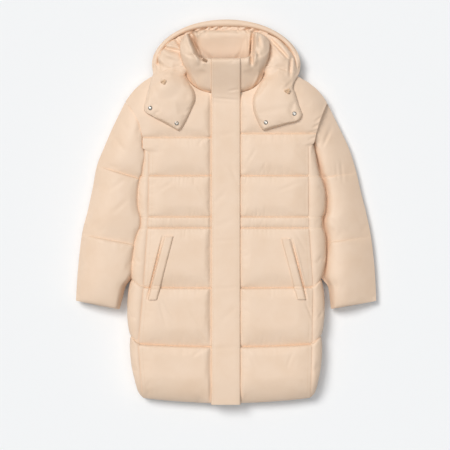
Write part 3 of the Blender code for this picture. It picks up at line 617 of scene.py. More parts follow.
def put_back(bm, cloth):
    """Turn every face outwards and keep an edited mesh in its cloth."""
    bmesh.ops.recalc_face_normals(bm, faces=bm.faces)
    bm.to_mesh(cloth.data)
    bm.free()


def fill_open(bm):
    """Close every open loop of edges with a face."""
    bmesh.ops.holes_fill(bm, edges=[edge for edge in bm.edges if edge.is_boundary], sides=0)


def close_panel(cloth, floor, joined=None):
    """Close a panel by a wall down, or up, to its lining at a level, and by the lining.

    Above the joined level, the wall at the panel's last column goes down to the back panel.
    """
    bm = opened(cloth)
    across = bm.verts.layers.float["across"]
    values = [vert[across] for vert in bm.verts]
    first, last = min(values), max(values)
    rim = [edge for edge in bm.edges if edge.is_boundary]
    made = bmesh.ops.extrude_edge_only(bm, edges=rim)["geom"]
    for vert in [item for item in made if isinstance(item, bmesh.types.BMVert)]:
        meets_back = joined is not None and vert.co.y > joined * MM and vert[across] > last - SAME
        vert.co.z = (BACK_LOFT - BACK_LAP if meets_back else floor) * MM
    lower = [item for item in made if isinstance(item, bmesh.types.BMEdge) and item.is_boundary]
    sides = []
    for edge in lower:
        at = [vert[across] for vert in edge.verts]
        if any(all(abs(value - end) < SAME for value in at) for end in (first, last)):
            sides.append(edge)
    bmesh.ops.bridge_loops(bm, edges=sides)
    fill_open(bm)
    put_back(bm, cloth)


def close_tube(cloth):
    """Close both ends of a tube of cloth."""
    bm = opened(cloth)
    fill_open(bm)
    put_back(bm, cloth)


def thicken(cloth, thickness):
    """Give an open sheet its thickness, downwards."""
    bm = opened(cloth)
    made = bmesh.ops.extrude_face_region(bm, geom=bm.faces[:], use_keep_orig=True)["geom"]
    lower = [item for item in made if isinstance(item, bmesh.types.BMVert)]
    bmesh.ops.translate(bm, vec=(0.0, 0.0, -thickness * MM), verts=lower)
    put_back(bm, cloth)


def press(cloth, change):
    """Move a cloth's points by what change says for their places."""
    place_points(cloth.data, change(coordinates(cloth.data)))


# A crease's two ends, its width and its depth. The cloth rises a little on both sides of it: how far out, in
# widths, and by what share of the depth
Crease = namedtuple("Crease", "from_x from_y to_x to_y width depth")
BESIDE_AT = 1.6
BESIDE_RISE = 0.35


def crease(points, fold):
    """A soft trough, or a ridge where its depth is below zero, that fades at both ends."""
    run = np.array([fold.to_x - fold.from_x, fold.to_y - fold.from_y])
    length = np.hypot(*run)
    along = ((points[:, 0] - fold.from_x) * run[0] + (points[:, 1] - fold.from_y) * run[1]) / length**2
    aside = ((points[:, 1] - fold.from_y) * run[0] - (points[:, 0] - fold.from_x) * run[1]) / length
    fade = np.sin(np.pi * np.clip(along, 0.0, 1.0)) ** 0.7
    beside = (np.abs(aside) - BESIDE_AT * fold.width) / fold.width
    profile = np.exp(-((aside / fold.width) ** 2)) - BESIDE_RISE * np.exp(-(beside**2))
    points[:, 2] -= fold.depth * fade * profile
    return points


def crease_all(points, folds):
    """Every trough and ridge of a list."""
    for fold in folds:
        crease(points, fold)
    return points


def puckers(points, place, offset, length, seed, spacing=15.0, depth=1.5, reach=34.0, both=True):
    """Gathers that run away from a seam, in a few close bunches with calmer cloth between them.

    place and offset are each point's distance along the seam and out from it, and length is the seam's.
    """
    draw = random.Random(seed)
    count = max(1, round(length / spacing))
    sides = (-1, 1) if both else (1,)
    for side in sides:
        phase = draw.uniform(0.0, 6.0)
        for number in range(count):
            middle = (number + draw.uniform(0.1, 0.9)) * length / count
            bunch = 0.62 + 0.38 * math.sin(middle / 34.0 + phase)
            reach_here = reach * draw.uniform(0.4, 1.15) * (0.6 + 0.4 * bunch)
            width = spacing * draw.uniform(0.16, 0.3)
            lean = draw.uniform(-0.25, 0.25)
            deep = depth * draw.uniform(0.3, 1.1) * bunch
            out = offset * side
            beside = np.abs(place - middle) < 4 * width + 0.35 * reach_here
            close = (out > 0.0) & (out < reach_here) & beside
            away = out[close]
            fade = (1.0 - away / reach_here) * np.minimum(away / 3.0, 1.0)
            drift = place[close] - middle - lean * away
            wide = width * (1.0 + 0.6 * away / reach_here)
            points[close, 2] -= deep * fade * (np.exp(-((drift / wide) ** 2)) - 0.25)
    return points


# ---- materials


def linear(colour):
    """An sRGB hex value, such as "E8CDB2", as linear red, green, blue and full opacity."""
    channels = [int(colour[i : i + 2], 16) / 255.0 for i in (0, 2, 4)]
    turned = [c / 12.92 if c <= 0.04045 else ((c + 0.055) / 1.055) ** 2.4 for c in channels]
    return (*turned, 1.0)


def node(tree, kind, settings=None, **links):
    """Add one node. settings holds properties and sockets' values; links are sockets fed by outputs."""
    made = tree.nodes.new(kind)
    for key, value in (settings or {}).items():
        if key in made.inputs:
            made.inputs[key].default_value = value
        else:
            setattr(made, key, value)
    for key, output in links.items():
        tree.links.new(output, made.inputs[key.replace("_", " ")])
    return made


def new_material(name):
    """An empty node material with its Principled shader, its tree and its object coordinates."""
    made = bpy.data.materials.new(name)
    made.use_nodes = True
    tree = made.node_tree
    shader = tree.nodes["Principled BSDF"]
    place = node(tree, "ShaderNodeTexCoord").outputs["Object"]
    return made, tree, shader, place


def nylon(name, colour, shade, crinkle):
    """Down-proof nylon taffeta, calendered: a dense plain weave, pressed smooth, with a soft sheen.

    The eye sees a milky, even colour that warms in the folds, a faint crinkle and broad, soft highlights.
    """
    made, tree, shader, place = new_material(name)
    # Dye takes a little unevenly, in patches about 60 mm across
    patches = node(tree, "ShaderNodeTexNoise", {"Scale": 16.0, "Detail": 3.0, "Roughness": 0.55},
                   Vector=place)
    mixed = node(tree, "ShaderNodeMix", {"data_type": "RGBA"})
    mixed.inputs[6].default_value = linear(colour)
    mixed.inputs[7].default_value = linear(shade)
    spread = node(tree, "ShaderNodeMapRange",
                  {"From Min": 0.35, "From Max": 0.75, "To Min": 0.0, "To Max": 1.0},
                  Value=patches.outputs["Fac"])
    tree.links.new(spread.outputs["Result"], mixed.inputs[0])
    tree.links.new(mixed.outputs[2], shader.inputs["Base Color"])
    # Down clusters under the cloth: lumps about 25 mm across
    lumps = node(tree, "ShaderNodeTexNoise", {"Scale": 40.0, "Detail": 2.0, "Roughness": 0.5}, Vector=place)
    # Crinkles of a thin, dense cloth: lines 6 to 10 mm apart
    crinkles = node(tree, "ShaderNodeTexNoise",
                    {"Scale": 130.0, "Detail": 4.0, "Roughness": 0.6, "Distortion": 0.8}, Vector=place)
    # Threads lie 0.1 mm apart; the weave is drawn at 1.2 mm so that it shows at all
    weave = node(tree, "ShaderNodeTexWave", {"Scale": 260.0, "Distortion": 0.6, "Detail": 1.0}, Vector=place)
    soft = node(tree, "ShaderNodeBump", {"Strength": 0.12, "Distance": 0.0012}, Height=lumps.outputs["Fac"])
    fine = node(tree, "ShaderNodeBump", {"Strength": crinkle, "Distance": 0.0006},
                Height=crinkles.outputs["Fac"], Normal=soft.outputs["Normal"])
    grain = node(tree, "ShaderNodeBump", {"Strength": 0.06, "Distance": 0.0002},
                 Height=weave.outputs["Fac"], Normal=fine.outputs["Normal"])
    tree.links.new(grain.outputs["Normal"], shader.inputs["Normal"])
    rough = node(tree, "ShaderNodeMapRange", {"To Min": 0.48, "To Max": 0.62}, Value=crinkles.outputs["Fac"])
    tree.links.new(rough.outputs["Result"], shader.inputs["Roughness"])
    shader.inputs["IOR"].default_value = 1.53
    shader.inputs["Sheen Weight"].default_value = 0.03
    shader.inputs["Sheen Roughness"].default_value = 0.45
    shader.inputs["Sheen Tint"].default_value = linear("FFF1E2")
    return made


def thread_painted_shade_material():
    """Polyester sewing thread: twisted. Its colour is painted shade: a little darker than the cloth, for the
    shade of the groove it sinks in.
    """
    made, tree, shader, place = new_material("polyester_thread_painted_shade")
    # Two plies twist every 0.6 mm; drawn at 1 mm
    twist = node(tree, "ShaderNodeTexWave", {"Scale": 300.0, "bands_direction": "DIAGONAL"}, Vector=place)
    mixed = node(tree, "ShaderNodeMix", {"data_type": "RGBA"})
    # Both twist colours are a little darker than the cloth: painted shade of the seam's groove
    mixed.inputs[6].default_value = linear("D9B896")
    mixed.inputs[7].default_value = linear("E6C9AA")
    tree.links.new(twist.outputs["Fac"], mixed.inputs[0])
    tree.links.new(mixed.outputs[2], shader.inputs["Base Color"])
    bump = node(tree, "ShaderNodeBump", {"Strength": 0.3, "Distance": 0.0002}, Height=twist.outputs["Fac"])
    tree.links.new(bump.outputs["Normal"], shader.inputs["Normal"])
    shader.inputs["Roughness"].default_value = 0.5
    return made


def nickel_material():
    """Satin nickel plate on pressed brass: a warm, pale metal, brushed to a soft gloss."""
    made, tree, shader, place = new_material("satin_nickel")
    # Polishing lines about 0.4 mm apart; drawn at 0.8 mm
    lines = node(tree, "ShaderNodeTexNoise", {"Scale": 1200.0, "Detail": 2.0}, Vector=place)
    mixed = node(tree, "ShaderNodeMix", {"data_type": "RGBA"})
    mixed.inputs[6].default_value = linear("C9C4BC")
    mixed.inputs[7].default_value = linear("FFFFFF")
    spread = node(tree, "ShaderNodeMapRange", {"To Min": 0.0, "To Max": 0.12}, Value=lines.outputs["Fac"])
    tree.links.new(spread.outputs["Result"], mixed.inputs[0])
    tree.links.new(mixed.outputs[2], shader.inputs["Base Color"])
    rough = node(tree, "ShaderNodeMapRange", {"To Min": 0.22, "To Max": 0.36}, Value=lines.outputs["Fac"])
    tree.links.new(rough.outputs["Result"], shader.inputs["Roughness"])
    shader.inputs["Metallic"].default_value = 1.0
    return made


def coil_material():
    """Nylon zip coil and its woven tape: dull, dyed a shade browner than the shell."""
    made, tree, shader, place = new_material("nylon_zip_coil")
    # Tape threads 0.5 mm apart; drawn at 1 mm
    weave = node(tree, "ShaderNodeTexWave", {"Scale": 320.0, "Distortion": 1.0}, Vector=place)
    mixed = node(tree, "ShaderNodeMix", {"data_type": "RGBA"})
    mixed.inputs[6].default_value = linear("8E6C50")
    mixed.inputs[7].default_value = linear("B39173")
    tree.links.new(weave.outputs["Fac"], mixed.inputs[0])
    tree.links.new(mixed.outputs[2], shader.inputs["Base Color"])
    bump = node(tree, "ShaderNodeBump", {"Strength": 0.4, "Distance": 0.0003}, Height=weave.outputs["Fac"])
    tree.links.new(bump.outputs["Normal"], shader.inputs["Normal"])
    shader.inputs["Roughness"].default_value = 0.6
    return made


def cord_material():
    """Braided polyester cord: round, soft, with a diamond braid."""
    made, tree, shader, place = new_material("braided_cord")
    # Strands of the braid 0.8 mm wide; drawn at 1 mm
    braid = node(tree, "ShaderNodeTexWave", {"Scale": 300.0, "bands_direction": "DIAGONAL"}, Vector=place)
    mixed = node(tree, "ShaderNodeMix", {"data_type": "RGBA"})
    mixed.inputs[6].default_value = linear("D3B08C")
    mixed.inputs[7].default_value = linear("E9CBAC")
    tree.links.new(braid.outputs["Fac"], mixed.inputs[0])
    tree.links.new(mixed.outputs[2], shader.inputs["Base Color"])
    bump = node(tree, "ShaderNodeBump", {"Strength": 0.5, "Distance": 0.0004}, Height=braid.outputs["Fac"])
    tree.links.new(bump.outputs["Normal"], shader.inputs["Normal"])
    shader.inputs["Roughness"].default_value = 0.75
    return made


def paper_material():
    """Matt paper sweep: a pale, plain floor with no gloss."""
    made, _, shader, _ = new_material("matt_paper_floor")
    shader.inputs["Base Color"].default_value = linear("F4F5F6")
    shader.inputs["Roughness"].default_value = 0.9
    return made


MATERIALS = {}
RIM_ANGLE = math.radians(60.0)


def finish_piece(made, material, slot, *nodes, fill=None):
    """Shade a piece smooth, give it its material, attach it to the frame and hide the frame's parts that it
    replaces.
    """
    made.data.materials.clear()
    made.data.materials.append(MATERIALS[material])
    made.data.shade_smooth()
    made.data.set_sharp_from_angle(angle=RIM_ANGLE)
    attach(made, "root")
    if nodes:
        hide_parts(*nodes)


# ---- fronts, side panels and back


# The last row of a panel turns in under the hem. Fronts and back stop just short of the side panels' seams
UNDER_HEM = HEM_LEVEL - 6.0
UNDER_HEM_INSET = 6.0
LOW_EDGE = FRONT_FLOOR + 1.0
UNDERARM_GAP = 0.3
PLACKET_COLUMNS = 3
FRONT_COLUMNS = 54


def front_place(side, loft):
    """Where a point of a front's cloth lies.

    across runs from 0 at the zip to 1 at the line of the placket's seam, and to 2 at the side.
    """
    arm = ARMHOLES[side]

    def place(across, along):
        under = along < HEM_LEVEL
        level = HEM_LEVEL if under else along
        outer = panel_x(side, level) if level < arm.under_y - UNDERARM_GAP else upper_x(side, level)
        neck = neck_x(side, level)
        inner = FRONT_EDGE if neck is None else max(FRONT_EDGE, side * neck)
        seam = min(max(PLACKET_SEAM, inner + 1.0), outer - 1.0)
        if across <= 1.0:
            half = inner + across * (seam - inner)
        else:
            half = seam + (across - 1.0) * (outer - seam)
        x = side * half
        y = body_level(level, x)
        if under:
            return x, y + UNDER_HEM_INSET, LOW_EDGE
        return x, y, max(front_top(x, y, loft), LOW_EDGE)

    return place


FRONT_CREASES = {
    -1: table(
        Crease, (-74, 214, 8, 241, 4, 1.6), (-86, 196, -66, 222, 5, 0.9), (-60, -404, -105, -436, 5, 1.1),
        (-62, -392, -88, -352, 5, 1.0), (-190, -262, -150, -330, 5, 0.8), (-200, -270, -178, -345, 5, 0.9),
        (-110, -292, -70, -350, 5, 0.7), (-62, 40, -95, 90, 5, 0.7), (-205, 60, -150, 96, 6, 0.7),
        (-216, -255, -200, -205, 4, 0.9),
    ),
    1: table(
        Crease, (230, 92, 150, 60, 6, 0.8), (240, -120, 205, -60, 5, 0.8), (236, -270, 262, -330, 4, 1.6),
        (60, -412, 92, -470, 6, 0.8), (200, -415, 180, -470, 5, 0.7), (252, 140, 200, 185, 6, 1.0),
        (60, 140, 90, 190, 5, 0.6), (120, 150, 104, 118, 4, 0.6), (300, 292, 262, 268, 4, 1.8),
        (290, 266, 256, 250, 4, 1.8), (282, 246, 246, 236, 3, 1.6), (276, 228, 244, 214, 3, 1.6),
        (272, 206, 240, 196, 4, 1.3),
    ),
}


def front_rows(side):
    """Rows of a front's grid, from under the hem to the neck."""
    stops = [*QUILT_LEVELS, ARMHOLES[side].under_y, CHEST_LEVEL[side]]
    rows = with_near_rows(spaced(stops), stops[1:-2] + [CHEST_LEVEL[side]])
    top = spaced([CHEST_LEVEL[side], ARMHOLES[side].tip_y, HIDDEN_ABOVE, SHOULDERS[-1].level])[1:]
    return [UNDER_HEM] + rows + top


def make_front(side):
    """A front's cloth and the points where it is held."""
    columns = [i / PLACKET_COLUMNS for i in range(PLACKET_COLUMNS)]
    columns += [1.0 + value for value in shares(FRONT_COLUMNS)]
    quilting = [*QUILT_LEVELS[1:], CHEST_LEVEL[side]]
    place = front_place(side, start_loft())
    cloth = cloth_grid("front_cloth_" + wearer(side), columns, front_rows(side), place, seams=quilting)
    across, along = attribute(cloth.data, "across"), attribute(cloth.data, "along")
    held = near(along, quilting, SEAM_HOLD) | near(across, [2.0]) | near(along, [UNDER_HEM])
    held |= (along > HIDDEN_ABOVE - 1.0) | (across <= 1.0 + SAME)
    return cloth, held


# Seams of the waist band, whose gathers are closer, deeper and shorter
WAIST_SEAMS = (3, 4)

# Where the gathers of an upright seam are counted from, and how long their seams are
LOW_END = -600.0
FRONT_LENGTH = 1000.0
SIDE_LENGTH = 790.0
HALF_ACROSS = 300.0

# The pocket's slit beside a welt: how far out of it, and its width and depth
SLIT_GAP = 1.5
SLIT_END = 4.0
SLIT_WIDTH = 3.4
SLIT_DEPTH = 8.0


def panel_line(side, y):
    """Half width at the side panel's seam, for many levels at once."""
    return np.interp(y, QUILT_LEVELS, [getattr(seam, wearer(side) + "_panel") for seam in SEAMS])


def pucker_front(side, sizes):
    """The gathers and creases of a front."""
    depth, spacing = sizes.pucker_depth / MM, sizes.pucker_spacing / MM
    edge = PLACKET_SEAM if side < 0 else FRONT_EDGE

    def change(points):
        x, y = points[:, 0], points[:, 1]
        half = np.abs(x)
        for number, seam in enumerate(SEAMS):
            rise = seam.rise * np.minimum(half / RISE_AT, 1.0) ** 2
            closer, deeper, reach = (0.75, 1.2, 40.0) if number in WAIST_SEAMS else (1.0, 1.0, 52.0)
            puckers(points, half, y - seam.level - rise, HALF_ACROSS, 11 + number + 40 * side,
                    spacing * closer, depth * deeper, reach)
        puckers(points, half, y - CHEST_LEVEL[side], HALF_ACROSS, 21 + 40 * side, spacing, depth * 0.6, 44.0)
        puckers(points, y - LOW_END, half - edge, FRONT_LENGTH, 31 + 40 * side, spacing * 1.7, depth * 0.5,
                26.0, False)
        puckers(points, y - LOW_END, panel_line(side, y) - half, SIDE_LENGTH, 37 + 40 * side, spacing * 1.5,
                depth * 0.8, 24.0, False)
        crease_all(points, FRONT_CREASES[side])
        welt = WELTS[side]
        aside = welt.width / 2 + SLIT_GAP
        slit = Crease(side * (welt.top_x + aside), welt.top_y + SLIT_END, side * (welt.bottom_x + aside),
                      welt.bottom_y - SLIT_END, SLIT_WIDTH, SLIT_DEPTH)
        return crease(points, slit)

    return change


# A side panel laps in under the front's edge, a step lower, dips at the underarm and rounds over to its fold
SIDE_OUTER = 30
SEAM_LAP = 10.0
SEAM_STEP = 1.2
SEAM_STEP_WIDTH = 12.0
UNDERARM_LAP = 3.0
TOP_SLOPE = 9.0
TOP_DIP = 4.0
SIDE_BOW = 2.0 / 3.0
SIDE_FALL = 0.65
LEAST_LINING = 3.0

# Under the hem it turns in and thins
HEM_TURN = 3.0
HEM_THIN = 0.7


def side_place(side, loft):
    """Where a side panel's points lie. across is 0 at the front's seam, 1 at the back's, then comes back."""
    arm = ARMHOLES[side]

    def outer_point(level, turn):
        seam, fold = panel_x(side, level), side_x(side, level)
        from_hem = pillow(level - HEM_LEVEL, HEM_SLOPE)
        low = HEM_HEIGHT + (QUILT_SEAM_HEIGHT - HEM_HEIGHT) * from_hem
        share = chamber(level, [(row.level, row.drop) for row in SEAMS[1:]])
        share *= from_hem if level < SEAMS[1].level else 1.0
        full = low + (CROWN_HEIGHT - low) * loft * SIDE_SEAM_SHARE * share
        sin, cos = math.sin(turn), math.cos(turn)
        x = seam + (fold - seam) * abs(sin) ** SIDE_BOW
        if cos > 0.9999:
            return seam - SEAM_LAP, full - 2.5 * SEAM_STEP
        if cos >= 0.0:
            z = FOLD_HEIGHT + (full - FOLD_HEIGHT) * cos**SIDE_FALL
            z -= SEAM_STEP * (1.0 - min((x - seam) / SEAM_STEP_WIDTH, 1.0))
            z -= TOP_DIP * (1.0 - rounding(arm.under_y + UNDERARM_LAP - level, TOP_SLOPE))
        else:
            z = FOLD_HEIGHT * (1.0 - min(1.0, 1.1 * abs(cos) ** 0.75)) + LEAST_HEIGHT
        return x, z

    def place(across, along):
        level = max(along, HEM_LEVEL)
        seam, fold = panel_x(side, level), side_x(side, level)
        slot = max(seam + LEAST_LINING, fold - SIDE_WALL)
        if across <= 1.0:
            x, z = outer_point(level, across * math.pi)
            if along < HEM_LEVEL:
                x = min(x, fold - HEM_TURN)
                z = FOLD_HEIGHT + (z - FOLD_HEIGHT) * HEM_THIN
        else:
            inside = ((seam, BACK_LOFT), (slot, BACK_LOFT), (slot, FRONT_FLOOR), (seam, FRONT_FLOOR))
            if across >= 1.999:
                x, z = outer_point(level, 0.0)
            else:
                x, z = inside[round((across - 1.0) * 5.0) - 1]
        inset = UNDER_HEM_INSET if along < HEM_LEVEL else 0.0
        return side * x, body_level(level, seam) + side_lift(side, level, x) + inset, z

    return place


def make_side(side):
    """A side panel's cloth and the points where it is held."""
    columns = [i / SIDE_OUTER for i in range(SIDE_OUTER + 1)] + [1.2, 1.4, 1.6, 1.8, 2.0]
    stops = [*QUILT_LEVELS, ARMHOLES[side].under_y + UNDERARM_LAP]
    rows = [UNDER_HEM] + with_near_rows(spaced(stops), stops[1:-1])
    place = side_place(side, start_loft())
    cloth = cloth_grid("side_cloth_" + wearer(side), columns, rows, place, True, stops[1:-1])
    across, along = attribute(cloth.data, "across"), attribute(cloth.data, "along")
    points = coordinates(cloth.data)
    held = near(along, QUILT_LEVELS[1:], SEAM_HOLD) | near(along, [UNDER_HEM, stops[-1]])
    held |= (across < SAME) | (across > 1.0 - SAME)
    held |= (points[:, 2] < 4.0) | near(across, [0.5])
    return cloth, held


def pucker_side(side, sizes):
    """The gathers of a side panel, along its quilt seams and down its two long seams."""
    depth, spacing = sizes.pucker_depth / MM, sizes.pucker_spacing / MM

    def change(points):
        x, y, z = points[:, 0].copy(), points[:, 1].copy(), points[:, 2].copy()
        half = np.abs(x)
        panel = panel_line(side, y)
        moved = points.copy()
        puckers(moved, y - LOW_END, half - panel, SIDE_LENGTH, 51 + 40 * side, spacing, depth * 0.9, 22.0,
                False)
        dip = z - moved[:, 2]
        upper = smooth(FOLD_HEIGHT, FOLD_HEIGHT + 14.0, z)
        points[:, 2] = z - dip * upper
        draw = random.Random(71 + side)
        for seam in SEAMS[1:]:
            level = seam.level + seam.rise + 0.6 * seam.lift
            for _ in range(6):
                height = draw.uniform(8.0, 64.0)
                out = np.abs(y - level)
                fade = np.clip(1.0 - out / draw.uniform(18.0, 34.0), 0.0, 1.0) ** 1.5
                fade = fade * np.minimum(out / 4.0, 1.0)
                line = np.exp(-(((z - height - draw.uniform(-0.2, 0.2) * (y - level)) / 4.0) ** 2))
                edge = smooth(panel, panel + 14.0, half)
                points[:, 0] -= side * depth * draw.uniform(0.6, 1.4) * fade * line * edge
        points[:, 2] = np.maximum(points[:, 2], LEAST_HEIGHT)
        return points

    return change


# The back's underside: how wide its grooves are, and how high and how far in its edges lift off the table
BACK_GROOVE_REACH = 26.0
BACK_RIM = 9.0
BACK_RIM_REACH = 14.0
BACK_HEM = 12.0
BACK_HEM_REACH = 30.0
BACK_STEP = 12.0
SHOULDER_ROW = 330.0


def back_place(along_levels):
    """Where a point of the back's underside lies. across runs from the wearer's right to the left."""

    def edge(side, level):
        arm = ARMHOLES[side]
        if level < arm.under_y - UNDERARM_GAP:
            return side * (panel_x(side, level) - UNDERARM_GAP)
        return side * upper_x(side, level)

    def place(across, along):
        level = max(along, HEM_LEVEL)
        right, left = edge(-1, level), edge(1, level)
        x = right + across * (left - right)
        y = body_level(level, x)
        inside = min(x - right, left - x)
        from_seam = np.min(np.abs(np.array(along_levels) - level))
        groove = BACK_GROOVE * (1.0 - rounding(from_seam, BACK_GROOVE_REACH))
        rim = BACK_RIM * (1.0 - rounding(inside, BACK_RIM_REACH)) if level > ARMHOLES[-1].under_y else 0.0
        hem = BACK_HEM * (1.0 - rounding(level - HEM_LEVEL, BACK_HEM_REACH))
        if along < HEM_LEVEL:
            return x, y + UNDER_HEM_INSET, BACK_LOFT - 2.0
        return x, y, max(groove, rim, hem) + LEAST_HEIGHT

    return place


def make_back():
    """The back's cloth, which rests on the table, quilted like the fronts."""
    levels = [*QUILT_LEVELS, BACK_CHEST_LEVEL]
    rows = with_near_rows(spaced([*levels, SHOULDER_ROW, SHOULDERS[-1].level], BACK_STEP), levels[1:])
    return cloth_grid("back_cloth", shares(45), [UNDER_HEM] + rows, back_place(levels))


def pucker_back(sizes):
    """Shallow gathers at the back's quilt seams. They only lift the cloth off the table."""
    depth, spacing = sizes.pucker_depth / MM, sizes.pucker_spacing / MM

    def change(points):
        lifted = points.copy()
        for number, level in enumerate([*QUILT_LEVELS[1:], BACK_CHEST_LEVEL]):
            puckers(lifted, points[:, 0] + HALF_ACROSS, points[:, 1] - level, 2.0 * HALF_ACROSS, 91 + number,
                    spacing, depth, 30.0)
        points[:, 2] += np.abs(points[:, 2] - lifted[:, 2])
        return points

    return change


def build_body(sizes):
    """Fronts, side panels and back."""
    pads = {}
    for side in (-1, 1):
        pads["front", side] = make_front(side)
        pads["side", side] = make_side(side)
    swell(list(pads.values()), sizes.down_pressure)
    for side in (-1, 1):
        cloth = pads["front", side][0]
        finer(cloth)
        press(cloth, pucker_front(side, sizes))
        close_panel(cloth, FRONT_FLOOR, ARMHOLES[side].tip_y - 4.0)
        finish_piece(cloth, "shell", "shell", "front_" + wearer(side), fill=0.7)
        cloth = pads["side", side][0]
        finer(cloth)
        press(cloth, pucker_side(side, sizes))
        close_tube(cloth)
        finish_piece(cloth, "shell", "shell", "side_" + wearer(side), fill=0.6)
    cloth = make_back()
    finer(cloth)
    press(cloth, pucker_back(sizes))
    close_panel(cloth, BACK_LOFT)
    finish_piece(cloth, "shell", "shell", "back", fill=0.5)


# ---- sleeves


# Round a sleeve: heights at its seams, between them and at its outer fold, and how it falls away to the outer
# fold and rises from the inner one, steeply at first and then over a longer reach
SLEEVE_AROUND = 72
SLEEVE_EASE = 0.9
SLEEVE_SEAM_HEIGHT = 67.0
SLEEVE_CROWN = 82.0
OUTER_FOLD = {-1: 37.0, 1: 30.0}
OUTER_SLOPE = {-1: 74.0, 1: 150.0}
OUTER_POWER = {-1: 0.72, 1: 1.05}
FIRST_SWELL = {-1: 0.85, 1: 0.55}
FIRST_REACH = 15.0
SECOND_REACH = 60.0
SLEEVE_GAP = 0.6

# Along a sleeve: the ditch where the left one lies against the body, how far the filling sinks above a seam,
# and how the ends slope
SLEEVE_DITCH = 17.0
SLEEVE_DROP = 0.6
ARMHOLE_SLOPE = 60.0
ARMHOLE_SHARE = 0.5
CUFF_SLOPE = 70.0
CUFF_ROUNDING = 16.0
ARMHOLE_END = 0.08
SLEEVE_SHARES = [row.share for row in SLEEVES[1]]
INNER_SEAMS = SLEEVE_SEAMS[1:-1]


def beside_body(inner_y):
    """1 where a sleeve's inner edge lies beside the body, and 0 below, where it swings away."""
    return float(smooth(SEAMS[2].level, SEAMS[2].level + SLEEVE_LEAVES, inner_y))


def past_armhole(share):
    """0 at the armhole, 1 a little way down the sleeve."""
    return min(share / ARMHOLE_END, 1.0)


def sleeve_row(side, share):
    """Inner and outer end of a line across a sleeve, at a share of the way from armhole to cuff."""
    rows = [(row.inner_x, row.inner_y, row.outer_x, row.outer_y) for row in SLEEVES[side]]
    spot = float(np.interp(share, SLEEVE_SHARES, range(len(rows))))
    inner_x, inner_y, outer_x, outer_y = through(rows, spot)
    if share > 0.0 and inner_y > SEAMS[2].level:
        fold_level = inner_y - (read(SEAMS, inner_y, "lift") if inner_y < SEAMS[-1].level else 0.0)
        pressed = side_x(side, fold_level) - SLEEVE_TUCK * past_armhole(share)
        inner_x += beside_body(inner_y) * (pressed - inner_x)
    return inner_x, inner_y, outer_x, outer_y


def sleeve_point(side, share, across):
    """Plan position on a sleeve: share runs from armhole to cuff, across from inner to outer edge."""
    inner_x, inner_y, outer_x, outer_y = sleeve_row(side, share)
    run_x, run_y = outer_x - inner_x, outer_y - inner_y
    length = math.hypot(run_x, run_y)
    bow = ARMHOLES[side].bow * max(1.0 - share / SLEEVE_SEAMS[1], 0.0) * 4.0 * across * (1.0 - across)
    x = inner_x + across * run_x - bow * run_y / length
    return side * (x + SLEEVE_GAP), inner_y + across * run_y + bow * run_x / length


def sleeve_place(side, loft):
    """Where a point of a sleeve lies. across goes once round it, from the inner edge over the top."""

    def place(across, along):
        share = min(along, 1.0)
        turn = across * 2.0 * math.pi
        sin, cos = math.sin(turn), math.cos(turn)
        over = 0.5 - 0.5 * math.copysign(abs(cos) ** SLEEVE_EASE, cos)
        x, y = sleeve_point(side, share, over)
        from_armhole, from_cuff = share * SLEEVE_LENGTH, (1.0 - share) * SLEEVE_LENGTH
        down = chamber(-share * SLEEVE_LENGTH, [(-seam * SLEEVE_LENGTH, SLEEVE_DROP) for seam in INNER_SEAMS])
        down *= edged(from_armhole, ARMHOLE_SLOPE, ARMHOLE_SHARE) * pillow(from_cuff, CUFF_SLOPE)
        crown = SLEEVE_SEAM_HEIGHT + (SLEEVE_CROWN - SLEEVE_SEAM_HEIGHT) * loft * down
        ends = rounding(from_cuff, CUFF_ROUNDING)
        outer_fold = FOLD_HEIGHT + (OUTER_FOLD[side] - FOLD_HEIGHT) * over
        if sin >= 0.0:
            width = math.dist(sleeve_point(side, share, 0.0), sleeve_point(side, share, 1.0))
            inside = over * width
            if side > 0:
                touch = past_armhole(share) * beside_body(sleeve_row(side, share)[1])
                inside = max(inside - SLEEVE_DITCH * touch, 0.0)
            first = FIRST_SWELL[side]
            swell_in = first * pillow(inside, FIRST_REACH, 0.9)
            swell_in += (1.0 - first) * pillow(inside, SECOND_REACH, 1.0)
            full = swell_in * pillow((1.0 - over) * width, OUTER_SLOPE[side], OUTER_POWER[side])
            z = outer_fold + (crown - outer_fold) * full * (0.86 + 0.14 * ends)
        else:
            under = (outer_fold - LEAST_HEIGHT) * min(1.0, 1.15 * abs(sin) ** 0.5)
            z = outer_fold - under * (0.9 + 0.1 * ends)
        return x, y, z

    return place


def make_sleeve(side):
    """A sleeve's cloth, a tube pressed flat, and the points where it is held."""
    columns = [i / SLEEVE_AROUND for i in range(SLEEVE_AROUND + 1)]
    rows = spaced(list(SLEEVE_SEAMS), STEP / SLEEVE_LENGTH)
    close_by = NEAR_SEAM / SLEEVE_LENGTH
    extra = [seam + apart for seam in INNER_SEAMS for apart in (-close_by, close_by)]
    rows = sorted(rows + extra + [1.0 - close_by])
    place = sleeve_place(side, start_loft())
    cloth = cloth_grid("sleeve_cloth_" + wearer(side), columns, rows, place, True, INNER_SEAMS)
    along = attribute(cloth.data, "along")
    held = near(along, SLEEVE_SEAMS, SEAM_HOLD / SLEEVE_LENGTH) | (coordinates(cloth.data)[:, 2] < 5.0)
    held |= near(attribute(cloth.data, "across"), [0.0, 0.5, 1.0], SAME)
    return cloth, held


SLEEVE_CREASES = {
    -1: table(
        Crease, (-345, 240, -300, 175, 7, 1.2), (-330, 290, -290, 240, 8, 1.0),
        (-300, 100, -352, 60, 7, 1.0), (-290, 40, -345, -10, 7, 1.0), (-420, -70, -380, -20, 8, 0.9),
    ),
    1: table(
        Crease, (326, 275, 296, 210, 6, 1.6), (310, 240, 288, 190, 5, 1.4), (345, 160, 350, 84, 5, 1.3),
        (330, 150, 334, 90, 4, 1.0), (375, 150, 368, 90, 6, 0.9), (310, -20, 360, -70, 7, 1.1),
        (420, -60, 390, 0, 7, 0.9),
    ),
}


